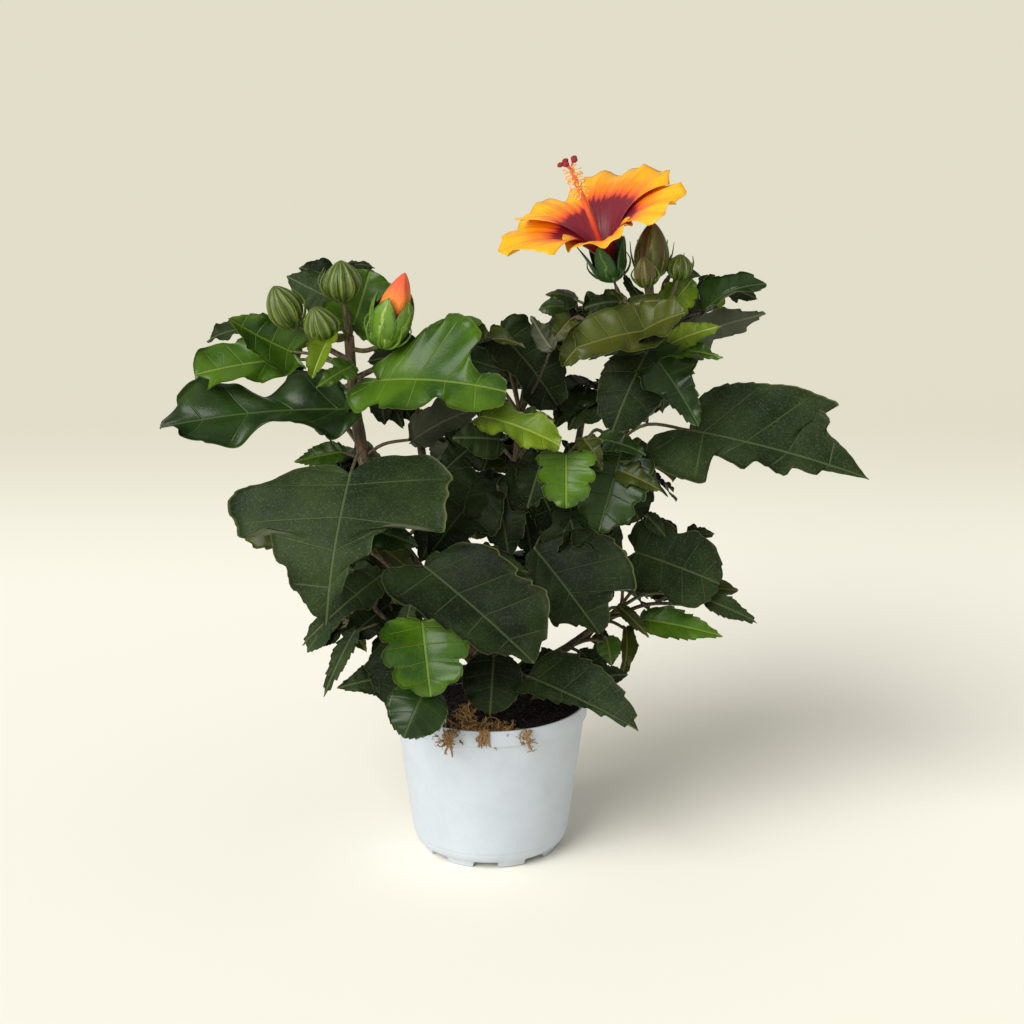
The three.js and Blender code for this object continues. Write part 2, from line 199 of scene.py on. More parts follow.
def tube(path, radii, sides, relief=None):
    """Points and faces of a round closed tube; relief(t, angle) swells its radius."""
    path = np.asarray(path, float)
    count = len(path)
    radii = np.broadcast_to(np.asarray(radii, float), (count,))
    across, over = ring_frames(path)
    angle = np.linspace(0, 2 * math.pi, sides, endpoint=False)
    t = np.linspace(0, 1, count)
    reach = radii[:, None] * np.ones(sides)[None]
    if relief is not None:
        reach = reach * (1 + relief(t[:, None], angle[None, :]))
    ring = across[:, None] * np.cos(angle)[None, :, None] + over[:, None] * np.sin(angle)[None, :, None]
    points = (path[:, None] + ring * reach[..., None]).reshape(-1, 3)
    points = np.vstack([points, path[:1], path[-1:]])
    k = np.arange(sides)
    first, last = count * sides, count * sides + 1
    cap = np.stack([np.full(sides, first), (k + 1) % sides, k], -1)
    top = (count - 1) * sides
    lid = np.stack([np.full(sides, last), top + k, top + (k + 1) % sides], -1)
    return points, [grid_faces(count, sides, closed=True), cap, lid]


# ------------------------------------------------------------------ materials
class Finish:
    """A material's node tree, with short ways to add what its pattern needs."""

    def __init__(self, name):
        self.material = bpy.data.materials.new(name)
        self.material.use_nodes = True
        self.tree = self.material.node_tree
        self.shader = self.tree.nodes["Principled BSDF"]

    def node(self, kind, inputs=None, **settings):
        made = self.tree.nodes.new(kind)
        for name, value in settings.items():
            setattr(made, name, value)
        for key, value in (inputs or {}).items():
            self.feed(made.inputs[key], value)
        return made

    def feed(self, socket, value):
        if isinstance(value, bpy.types.NodeSocket):
            self.tree.links.new(value, socket)
        elif socket.type == "RGBA":
            socket.default_value = (*value, 1)
        else:
            socket.default_value = value

    def math(self, operation, a, b=0.0, c=0.0, clamp=False):
        made = self.node("ShaderNodeMath", {0: a, 1: b, 2: c}, operation=operation, use_clamp=clamp)
        return made.outputs[0]

    def step(self, value, start, end, low=0.0, high=1.0):
        """Runs smoothly from low to high as value goes from start to end."""
        inputs = {"Value": value, "From Min": start, "From Max": end, "To Min": low, "To Max": high}
        made = self.node("ShaderNodeMapRange", inputs, interpolation_type="SMOOTHSTEP")
        return made.outputs[0]

    def mix(self, share, a, b):
        made = self.node("ShaderNodeMix", data_type="RGBA")
        self.feed(made.inputs["Factor"], share)
        first, second = [socket for socket in made.inputs if socket.type == "RGBA"]
        self.feed(first, a)
        self.feed(second, b)
        return [socket for socket in made.outputs if socket.type == "RGBA"][0]

    def place(self, uv=None):
        if uv:
            return self.node("ShaderNodeUVMap", uv_map=uv).outputs["UV"]
        return self.node("ShaderNodeTexCoord").outputs["Object"]

    def parts(self, vector):
        return self.node("ShaderNodeSeparateXYZ", {0: vector}).outputs

    def noise(self, scale, vector=None, detail=3.0, rough=0.55):
        inputs = {"Vector": vector or self.place(), "Scale": scale, "Detail": detail, "Roughness": rough}
        return self.node("ShaderNodeTexNoise", inputs).outputs["Fac"]

    def cells(self, scale, vector):
        """The distance from the nearest wall between small cells."""
        inputs = {"Vector": vector, "Scale": scale}
        return self.node("ShaderNodeTexVoronoi", inputs, feature="DISTANCE_TO_EDGE").outputs["Distance"]

    def bump(self, height, distance, strength, normal=None):
        inputs = {"Height": height, "Distance": distance, "Strength": strength}
        made = self.node("ShaderNodeBump", inputs)
        if normal is not None:
            self.feed(made.inputs["Normal"], normal)
        return made.outputs[0]

    def done(self, colour, roughness, normal=None, **sockets):
        self.feed(self.shader.inputs["Base Color"], colour)
        self.feed(self.shader.inputs["Roughness"], roughness)
        if normal is not None:
            self.feed(self.shader.inputs["Normal"], normal)
        for name, value in sockets.items():
            self.feed(self.shader.inputs[name.replace("_", " ")], value)
        return self.material


def grainy(name, scale, deep, light, gloss, relief, strength, detail=3.0):
    """A skin whose grain mixes two tones and stands out a little."""
    f = Finish(name)
    grain = f.noise(scale, detail=detail)
    return f.done(f.mix(grain, deep, light), gloss, f.bump(grain, relief, strength))


SIDE_VEINS = 6
EDGE_TONE = (0.24, 0.26, 0.08)
DUST_TONE = (0.3, 0.36, 0.3)


def leaf_finish(name, deep, light, vein, gloss, vein_strength, shine=0.3, raised=-1.0, dust=0.0):
    """A leaf's skin: midrib and side veins along the blade's own map, a fine net between them."""
    f = Finish(name)
    blade = f.parts(f.place("blade"))
    span = f.place("span")
    width = f.math("ABSOLUTE", f.parts(span)[1])
    u, v = blade[0], blade[1]
    wave = f.math("FRACT", f.math("MULTIPLY_ADD", u, float(SIDE_VEINS), 0.5))
    off = f.math("ABSOLUTE", f.math("SUBTRACT", wave, 0.5))
    side = f.step(off, 0.035, 0.0)
    side = f.math("MULTIPLY", side, f.step(v, 1.0, 0.55))
    rib = f.step(width, 0.011, 0.005)
    net = f.step(f.cells(16.0, span), 0.05, 0.0)
    fine = f.step(f.cells(46.0, span), 0.08, 0.0)
    lines = f.math("MAXIMUM", rib, side)
    mottle = f.noise(55.0, detail=4.0)
    drift = f.step(f.noise(2.2, span, detail=2.0), 0.36, 0.64)
    tone = f.math("MULTIPLY_ADD", mottle, 0.8, f.math("MULTIPLY_ADD", drift, 0.7, -0.35), clamp=True)
    colour = f.mix(tone, deep, light)
    web = f.math("MULTIPLY", f.math("MAXIMUM", net, f.math("MULTIPLY", fine, 0.5)), 0.09)
    colour = f.mix(web, colour, vein)
    colour = f.mix(f.math("MULTIPLY", lines, vein_strength), colour, vein)
    if dust:
        specks = f.step(f.noise(900.0, detail=2.0, rough=0.7), 0.52, 0.68)
        colour = f.mix(f.math("MULTIPLY", specks, dust), colour, DUST_TONE)
    edge = f.step(v, 0.965, 0.995)
    colour = f.mix(f.math("MULTIPLY", edge, 0.3), colour, EDGE_TONE)
    height = f.math("MULTIPLY", f.math("MAXIMUM", lines, f.math("MULTIPLY", net, 0.06)), raised)
    normal = f.bump(height, 0.0007, 0.8)
    normal = f.bump(f.noise(380.0, detail=3.0), 0.0003, 0.35, normal)
    rough = f.math("MULTIPLY_ADD", mottle, 0.18, gloss)
    return f.done(colour, rough, normal, Specular_IOR_Level=shine)


LEAF_LOOKS = [
    leaf_finish("leaf_old", (0.008, 0.018, 0.003), (0.027, 0.048, 0.01), (0.12, 0.155, 0.06),
                0.46, 0.45, 0.13, dust=0.1),
    leaf_finish("leaf_young", (0.016, 0.058, 0.002), (0.075, 0.165, 0.006), (0.26, 0.36, 0.05), 0.24, 0.4),
    leaf_finish("leaf_olive", (0.016, 0.026, 0.002), (0.068, 0.088, 0.008), (0.2, 0.2, 0.045), 0.32, 0.42),
    leaf_finish("leaf_under", (0.045, 0.055, 0.03), (0.095, 0.105, 0.065), (0.2, 0.21, 0.13),
                0.6, 0.5, 0.15, raised=1.0),
    leaf_finish("leaf_lime", (0.055, 0.12, 0.003), (0.15, 0.23, 0.008), (0.42, 0.5, 0.09), 0.3, 0.35),
    leaf_finish("leaf_glossy", (0.006, 0.018, 0.003), (0.024, 0.058, 0.007), (0.1, 0.16, 0.045),
                0.22, 0.35, 0.28),
    # leaf_old's skin at about half its brightness: painted shade for old leaves inside the crown
    leaf_finish("leaf_old_painted_shade", (0.003, 0.007, 0.001), (0.014, 0.027, 0.005), (0.085, 0.115, 0.045),
                0.44, 0.45, 0.1, dust=0.05),
]
OLD, YOUNG, OLIVE, UNDER, LIME, GLOSSY, OLD_PAINTED_SHADE = range(7)


# ------------------------------------------------------------------ leaves
OVAL = [(-0.04, 0.12), (0.06, 0.36), (0.3, 0.5), (0.6, 0.38), (0.85, 0.16)]
LOBED = [(-0.08, 0.1), (-0.05, 0.3), (0.28, 0.62), (0.38, 0.36), (0.62, 0.33), (0.85, 0.14)]
BROAD = [(-0.1, 0.12), (-0.12, 0.4), (0.3, 0.74), (0.43, 0.44), (0.66, 0.36), (0.88, 0.15)]
ROUND = [(-0.06, 0.2), (0.15, 0.48), (0.5, 0.55), (0.85, 0.32)]
ARROW = [(-0.12, 0.16), (0.02, 0.42), (0.35, 0.34), (0.7, 0.17)]
STRAP = [(-0.04, 0.25), (0.15, 0.48), (0.4, 0.42), (0.6, 0.5), (0.84, 0.42), (0.97, 0.2)]
BLUNT = [(-0.12, 0.2), (-0.04, 0.45), (0.2, 0.52), (0.36, 0.42), (0.55, 0.5), (0.8, 0.44), (0.96, 0.2)]
SCALLOPED = [(-0.05, 0.1), (-0.07, 0.34), (0.07, 0.5), (0.22, 0.5), (0.25, 0.39), (0.36, 0.5), (0.52, 0.5),
             (0.58, 0.38), (0.7, 0.42), (0.84, 0.34), (0.88, 0.22), (0.97, 0.14)]
RAYS = 0.28          # the share of each margin fed by veins from the leaf's foot
RING_SHARES = np.array([0.0, 0.2, 0.42, 0.65, 0.86, 1.0])
TEETH = 12
TOOTH_DEPTH = 0.022
QUILT = 0.01         # how far the blade swells between its side veins
FOOT, TIP = 0, 1     # a leaf's first two corners
RANDOM_TURN = 6.28   # about a full turn, for starts that chance sets


class LeafNet:
    """How a leaf's corners join: fans of rays at the foot, then side veins along the midrib."""

    def __init__(self, steps):
        self.steps = steps
        rings = len(RING_SHARES) - 1
        self.u = np.linspace(0, 1, steps + 1)
        self.anchor = np.clip((self.u - RAYS) / (1 - RAYS), 0, 1)
        number = np.zeros((2, steps + 1, rings + 1), int)
        self.rows = [(0, 0, 0), (0, steps, 0)]
        for side in (0, 1):
            for j in range(steps + 1):
                for i in range(rings + 1):
                    if j == 0 or (i == 0 and self.anchor[j] <= 0):
                        number[side, j, i] = 0
                    elif j == steps:
                        number[side, j, i] = 1
                    elif i == 0 and side == 1:
                        number[side, j, i] = number[0, j, 0]
                    else:
                        number[side, j, i] = len(self.rows)
                        self.rows.append((side, j, i))
        quads, fans = [], []
        for side in (0, 1):
            for j in range(steps):
                for i in range(rings):
                    walk = [(side, j, i), (side, j + 1, i), (side, j + 1, i + 1), (side, j, i + 1)]
                    walk = walk if side == 0 else walk[::-1]
                    kept = [a for k, a in enumerate(walk) if number[a] != number[walk[k - 1]]]
                    if len(kept) == 4:
                        quads.append(kept)
                    elif len(kept) == 3:
                        fans.append(kept)
        self.rows = np.array(self.rows)
        self.faces = [np.array(quads), np.array(fans)]
        self.number = number
        left = [(0, j, rings) for j in range(steps + 1)]
        right = [(1, j, rings) for j in range(steps - 1, 0, -1)]
        self.edge = np.array(left + right)

    def index(self, addresses):
        return self.number[addresses[..., 0], addresses[..., 1], addresses[..., 2]]


FINE, PLAIN = LeafNet(84), LeafNet(36)


def margin(points, steps, depth, teeth, phase):
    """One side's margin: a smooth curve through the points, with teeth that lean to the tip."""
    curve = smooth_path([(0, 0), *points, (1, 0)], steps + 1)
    along = np.gradient(curve, axis=0)
    along /= np.linalg.norm(along, axis=1)[:, None] + 1e-12
    out = np.stack([-along[:, 1], along[:, 0]], -1)
    u = np.linspace(0, 1, steps + 1)
    saw = (u * teeth + phase + 0.35 * np.sin(9 * u + 20 * phase)) % 1.0
    saw = np.where(saw < 0.78, saw / 0.78, (1 - saw) / 0.22) - 0.35
    fade = np.clip(u / 0.12, 0, 1) * np.clip((1 - u) / 0.06, 0, 1)
    push = (depth * saw * fade * (1 + 0.6 * np.sin(13 * u + 40 * phase)))[:, None]
    return curve, out * push + along * push * 0.7


def leaf_shape(net, left, right, form, rng):
    """A leaf one unit long: flat places, bent places, and the outward margin."""
    depth = form.get("teeth", TOOTH_DEPTH)
    teeth = form.get("count", TEETH)
    phase = rng.random()
    flat = np.zeros((len(net.rows), 2))
    side, j, i = net.rows.T
    v = RING_SHARES[i]
    for which, points in ((0, left), (1, right)):
        curve, bite = margin(points, net.steps, depth, teeth, phase)
        here = side == which
        share = v[here][:, None]
        foot = np.stack([net.anchor[j[here]], np.zeros(here.sum())], -1)
        rim = curve[j[here]] + bite[j[here]] * np.clip((share - 0.75) / 0.25, 0, 1) ** 1.5
        place = foot * (1 - share) + rim * share
        place[:, 1] *= 1 if which == 0 else -1
        flat[here] = place
    flat[FOOT], flat[TIP] = (0, 0), (1, 0)
    u = net.u[j]
    x, y = flat[:, 0], flat[:, 1]
    reach = np.abs(y)
    wide = reach.max() + 1e-9
    fold, cup = form["fold"], form["cup"] + 1e-4
    turn = fold + cup * reach / wide
    across = wide / cup * (np.sin(turn) - math.sin(fold)) * np.sign(y)
    rise = wide / cup * (math.cos(fold) - np.cos(turn))
    s = np.clip(x, -0.3, 1.05)
    arch = form["arch"] * 4 * s * (1 - s)
    arch = arch - form.get("curl", 0.0) * np.clip(s - 0.45, 0, 1) ** 2 * 2.4
    waves, size = form["waves"], form["ruffle"]
    start = rng.random(2) * RANDOM_TURN
    ruffle = size * v**2.2 * np.sin(2 * math.pi * waves * u + start[side])
    ruffle += 0.35 * size * v**1.6 * np.sin(2 * math.pi * waves * 2.3 * u + start[1 - side])
    quilt = QUILT * v * (1 - v) * 4 * np.abs(np.sin(math.pi * SIDE_VEINS * u))
    lean = rng.random(3) * RANDOM_TURN
    rumple = np.sin(5.1 * x + lean[0]) * np.sin(6.3 * y + lean[1]) + 0.5 * np.sin(9.0 * x - 7.0 * y + lean[2])
    rise = rise + ruffle + quilt + form.get("rumple", 0.012) * rumple * v + arch
    bent = np.stack([x, across, rise], -1)
    bent -= bent[FOOT]
    return flat, bent, v


def normals_of(points, faces):
    total = np.zeros_like(points)
    for f in faces:
        if len(f):
            face = np.cross(points[f[:, 1]] - points[f[:, 0]], points[f[:, 2]] - points[f[:, 0]])
            for k in range(f.shape[1]):
                np.add.at(total, f[:, k], face)
    return total / (np.linalg.norm(total, axis=1)[:, None] + 1e-12)


class Spray:
    """The leaves of one mass of foliage, joined as one piece when they are all known."""

    def __init__(self):
        self.leaves = []

    def add(self, root, tip, facing, left, right, look, form, rng, net=PLAIN):
        root, tip = np.asarray(root, float), np.asarray(tip, float)
        length = np.linalg.norm(tip - root)
        flat, bent, v = leaf_shape(net, left, right, form, rng)
        ahead = unit(tip - root)
        over = unit(np.asarray(facing, float) - ahead * ahead.dot(facing))
        beside = np.cross(over, ahead)
        # the bent leaf's own tip is turned back onto the tip asked for
        end = bent[TIP]
        pitch = math.atan2(end[2], end[0])
        stretch = 1 / math.hypot(end[0], end[2])
        c, s = math.cos(-pitch) * stretch, math.sin(-pitch) * stretch
        bx = bent[:, 0] * c - bent[:, 2] * s
        bz = bent[:, 0] * s + bent[:, 2] * c
        top = root + length * (bx[:, None] * ahead + bent[:, 1:2] * beside + bz[:, None] * over)
        self.leaves.append((net, top, flat, v, look, length, rng.random()))

    def piece(self, name):
        sheaf = Sheaf(("blade", "span", "OFBake"))
        cells = 2 * len(self.leaves)
        columns = math.ceil(math.sqrt(cells))
        lines = math.ceil(cells / columns)
        for k, (net, top, flat, v, look, length, chance) in enumerate(self.leaves):
            faces = [net.index(f) for f in net.faces]
            normal = normals_of(top, faces)
            thick = (0.0005 - 0.00022 * v)[:, None]
            under = top - normal * thick
            size = len(top)
            lower = [f[:, ::-1] + size for f in faces]
            loop = net.index(net.edge)
            after = np.roll(loop, -1)
            rim = np.stack([after, loop, loop + size, after + size], -1)
            low, high = flat.min(0), flat.max(0)
            middle, reach = (low + high) / 2, (high - low).max() * 1.12
            spread = (flat - middle) / reach + 0.5
            rows = {"blade": [], "span": [], "OFBake": []}
            for part, addresses in enumerate(2 * net.faces):
                below = part >= 2
                order = addresses[:, ::-1] if below else addresses
                own = net.index(order).ravel()
                a = order.reshape(-1, 3)
                rows["blade"].append(np.stack([net.u[a[:, 1]], RING_SHARES[a[:, 2]]], -1))
                rows["span"].append(flat[own] * length * 10 + (3.0 * k + chance, 0))
                cell = 2 * k + below
                corner = np.array([cell % columns, cell // columns])
                rows["OFBake"].append((spread[own] + corner) / (columns, lines))
            rim_flat = np.stack([after, loop, loop, after], -1).ravel()
            outer = np.array([0, 0, 1, 1] * len(loop))[:, None]
            corner = np.array([(2 * k) % columns, (2 * k) // columns])
            ring = spread[rim_flat]
            rows["OFBake"].append(((ring - 0.5) * (1 + 0.03 * outer) + 0.5 + corner) / (columns, lines))
            rows["span"].append(flat[rim_flat] * length * 10 + (3.0 * k + chance, 0))
            edge_u = net.u[net.edge[:, 1]]
            next_u = np.roll(edge_u, -1)
            both = np.stack([next_u, edge_u, edge_u, next_u], -1).ravel()
            rows["blade"].append(np.stack([both, np.ones(len(both))], -1))
            skin = len(faces[0]) + len(faces[1])
            wear = np.repeat([look, UNDER, look], [skin, skin, len(rim)])
            maps = {key: np.concatenate(value) for key, value in rows.items()}
            sheaf.add(np.vstack([top, under]), faces + lower + [rim], wear, **maps)
        return sheaf.piece(name, LEAF_LOOKS)


# ------------------------------------------------------------------ limbs
LIMBS = ["trunk", "left_bough", "right_bough", "centre_bough", "back_left_bough", "back_right_bough",
         "low_left_bough", "low_right_bough", "front_bough"]


def bark_finish(name, deep, light, scar, gloss=0.62):
    f = Finish(name)
    stretched = f.node("ShaderNodeMapping", {"Vector": f.place(), "Scale": (1.0, 1.0, 0.28)}).outputs[0]
    furrow = f.noise(420.0, stretched, detail=5.0)
    patch = f.noise(60.0, detail=3.0)
    colour = f.mix(f.step(furrow, 0.35, 0.68), deep, light)
    colour = f.mix(f.step(patch, 0.5, 0.7, 0.0, 0.6), colour, scar)
    normal = f.bump(furrow, 0.0009, 0.9)
    normal = f.bump(f.noise(1500.0), 0.0003, 0.5, normal)
    return f.done(colour, f.math("MULTIPLY_ADD", furrow, 0.2, gloss - 0.1), normal)


BARK = bark_finish("bark", (0.035, 0.018, 0.009), (0.17, 0.105, 0.055), (0.06, 0.07, 0.03))
GREEN_BARK = bark_finish("young_stem", (0.05, 0.035, 0.012), (0.13, 0.12, 0.035), (0.09, 0.03, 0.015), 0.45)
PETIOLE = bark_finish("petiole", (0.07, 0.03, 0.016), (0.1, 0.13, 0.035), (0.12, 0.028, 0.02), 0.4)
DARK_PETIOLE = bark_finish("dark_petiole", (0.016, 0.01, 0.006), (0.04, 0.024, 0.014), (0.02, 0.03, 0.012),
                           0.3)
STEM_LOOKS = [PETIOLE, DARK_PETIOLE, GREEN_BARK, BARK]
RED_STALK, DARK_STALK, GREEN_TWIG, WOODY_TWIG = range(4)


def limb_relief(seed, strength, scars):
    """Long furrows down a limb, with the swollen scars that fallen leaves leave."""
    rng = np.random.default_rng(seed)
    lean = rng.random(4) * RANDOM_TURN
    at = rng.random((scars, 2)) * (1.0, RANDOM_TURN)

    def relief(t, angle):
        swell = 0.5 * np.sin(3 * angle + 7 * t + lean[0]) + 0.35 * np.sin(5 * angle - 11 * t + lean[1])
        swell = swell + 0.3 * np.sin(9 * angle + 23 * t + lean[2]) + 0.25 * np.sin(41 * t + lean[3])
        swell = swell * strength
        for place, turn in at:
            away = np.angle(np.exp(1j * (angle - turn)))
            swell = swell + 0.22 * np.exp(-((t - place) * 34) ** 2 - (away * 1.3) ** 2)
        return swell

    return relief


LIMB_CUTS, LIMB_RINGS = 9, 60
lines = {}
for number, node in enumerate(LIMBS + ["bloom_stalk"]):
    young = node == "bloom_stalk"
    centres, radii = centre_line(node, LIMB_CUTS)
    low_end = centres[0] - (centres[1] - centres[0]) * 0.26
    high_end = centres[-1] + (centres[-1] - centres[-2]) * (1.6 if young else 0.22)
    line = smooth_path(np.vstack([low_end, centres, high_end]), LIMB_RINGS)
    cuts = np.concatenate([radii[:1], radii, radii[-1:]])
    girth = np.interp(np.linspace(0, 1, LIMB_RINGS), np.linspace(0, 1, len(cuts)), cuts)
    lines[node] = (line, girth)
    sheaf = Sheaf()
    sides = 28 if node == "trunk" else 16
    relief = limb_relief(40 + number, 0.02 if young else 0.05, 2 if young else 8)
    points, faces = tube(line, girth, sides, relief)
    sheaf.add(points, faces)
    limb = sheaf.piece(node + "_bark", [GREEN_BARK if young else BARK])
    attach(limb, "root")
    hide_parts(node)


def nearest_limb(point, lift=0.012):
    """The spot on a limb that a twig to this point would leave from: near it, and lower."""
    best, found = math.inf, None
    for node in LIMBS:
        line, girth = lines[node]
        gap = line - point
        cost = np.linalg.norm(gap, axis=1) + 1.4 * np.maximum(gap[:, 2] + lift, 0)
        k = int(cost.argmin())
        if cost[k] < best:
            best, found = cost[k], (line[k], girth[k])
    return found


class Stems:
    """The twigs and petioles of one mass, joined as one piece."""

    def __init__(self):
        self.sheaf = Sheaf()

    def add(self, path, start, end, wear, sides=6, count=10):
        path = smooth_path(path, count)
        radii = np.linspace(start, end, count)
        radii[0] *= 1.35
        radii[-1] *= 1.15
        points, faces = tube(path, radii, sides)
        self.sheaf.add(points, faces, wear)

    def petiole(self, start, leaf_root, ahead, thick, wear=RED_STALK):
        """A stalk from a twig to a leaf's foot, coming in along the leaf's own line."""
        start, leaf_root = np.asarray(start, float), np.asarray(leaf_root, float)
        span = np.linalg.norm(leaf_root - start)
        middle = (start + leaf_root) / 2 + UP * span * 0.13 - ahead * span * 0.08
        self.add([start, middle, leaf_root + ahead * 0.0012], thick * 1.1, thick * 0.85, wear)


# ------------------------------------------------------------------ the leaves that show
CALM = dict(arch=0.05, fold=0.12, cup=0.1, ruffle=0.016, waves=3.0, teeth=0.026, count=9)
WAVY = dict(arch=0.07, fold=0.14, cup=0.15, ruffle=0.045, waves=3.0)
CUT_WAVY = dict(WAVY, teeth=0.007, count=24)
RUFFLED = dict(arch=0.09, fold=0.18, cup=0.25, ruffle=0.07, waves=2.6, rumple=0.03, teeth=0.02)
ROLLED = dict(arch=0.05, fold=0.16, cup=0.3, ruffle=0.075, waves=2.2, rumple=0.02, teeth=0.016, count=7)
CUPPED = dict(arch=-0.06, fold=0.3, cup=0.7, ruffle=0.05, waves=2.6, rumple=0.02)
FOLDED = dict(arch=0.08, fold=0.75, cup=0.2, ruffle=0.05, waves=2.5)
CUT = dict(arch=0.05, fold=0.12, cup=0.1, ruffle=0.016, waves=3.0, teeth=0.007, count=24)
DRAPED = dict(arch=0.12, fold=-0.15, cup=-0.45, ruffle=0.03, waves=3.0, curl=0.1)
CUT_DRAPED = dict(CUT, arch=0.12, fold=-0.06, cup=-0.16, curl=0.1)
CURLED = dict(arch=0.16, fold=0.5, cup=0.9, ruffle=0.07, waves=2.5, curl=0.2, rumple=0.03)

FRONT_LEFT = ([(-0.09, 0.05), (-0.18, 0.19), (-0.21, 0.33), (-0.25, 0.47), (-0.19, 0.58), (-0.11, 0.66),
               (-0.03, 0.64), (0.04, 0.67), (0.08, 0.65), (0.19, 0.68), (0.3, 0.67), (0.28, 0.54),
               (0.26, 0.42), (0.27, 0.33), (0.35, 0.3), (0.39, 0.24), (0.52, 0.23), (0.59, 0.12),
               (0.71, 0.1), (0.84, 0.05)],
              [(-0.05, 0.08), (-0.06, 0.17), (-0.01, 0.36), (0.12, 0.54), (0.2, 0.72), (0.29, 0.78),
               (0.37, 0.75), (0.42, 0.7), (0.52, 0.65), (0.47, 0.53), (0.44, 0.46), (0.51, 0.43),
               (0.64, 0.38), (0.68, 0.3), (0.78, 0.27), (0.84, 0.19), (0.93, 0.11)])
FRONT_CENTRE = ([(-0.02, 0.08), (0.1, 0.31), (0.34, 0.39), (0.54, 0.37), (0.74, 0.4), (0.84, 0.32),
                 (0.93, 0.19)],
                [(-0.17, 0.2), (-0.04, 0.33), (0.19, 0.29), (0.5, 0.23), (0.73, 0.2), (0.78, 0.12)])
CROWN_FRONT = ([(-0.06, 0.07), (0.0, 0.19), (0.2, 0.34), (0.4, 0.43), (0.47, 0.53), (0.61, 0.55),
                (0.68, 0.48), (0.75, 0.38), (0.69, 0.24), (0.75, 0.13), (0.86, 0.15), (0.97, 0.1)],
               [(-0.11, 0.02), (-0.21, 0.07), (-0.22, 0.17), (-0.12, 0.28), (0.05, 0.23), (0.11, 0.3),
                (0.26, 0.33), (0.44, 0.23), (0.5, 0.14), (0.58, 0.18), (0.66, 0.28), (0.8, 0.26),
                (0.89, 0.2), (0.98, 0.1)])
FRONT_RIGHT = ([(0.02, 0.22), (0.15, 0.46), (0.36, 0.6), (0.62, 0.61), (0.86, 0.5), (0.74, 0.36),
                (0.8, 0.26), (0.94, 0.15)],
               [(0.04, 0.12), (0.3, 0.23), (0.49, 0.27), (0.7, 0.31), (0.77, 0.16)])
ARROW_WIDE = ([(0.0, 0.16), (0.11, 0.29), (0.3, 0.32), (0.62, 0.27), (0.83, 0.16)],
              [(-0.09, 0.1), (-0.03, 0.17), (0.24, 0.12), (0.55, 0.05)])
RIGHT_ARM = ([(-0.02, 0.13), (0.03, 0.21), (0.12, 0.29), (0.26, 0.34), (0.37, 0.36), (0.49, 0.37),
              (0.6, 0.37), (0.75, 0.35), (0.61, 0.32), (0.71, 0.25), (0.71, 0.18), (0.8, 0.13),
              (0.89, 0.09)],
             [(-0.18, 0.07), (-0.18, 0.22), (-0.02, 0.31), (0.14, 0.33), (0.13, 0.21), (0.13, 0.12),
              (0.24, 0.14), (0.33, 0.18), (0.37, 0.12), (0.54, 0.16), (0.57, 0.09), (0.71, 0.08),
              (0.72, 0.04), (0.86, 0.03)])

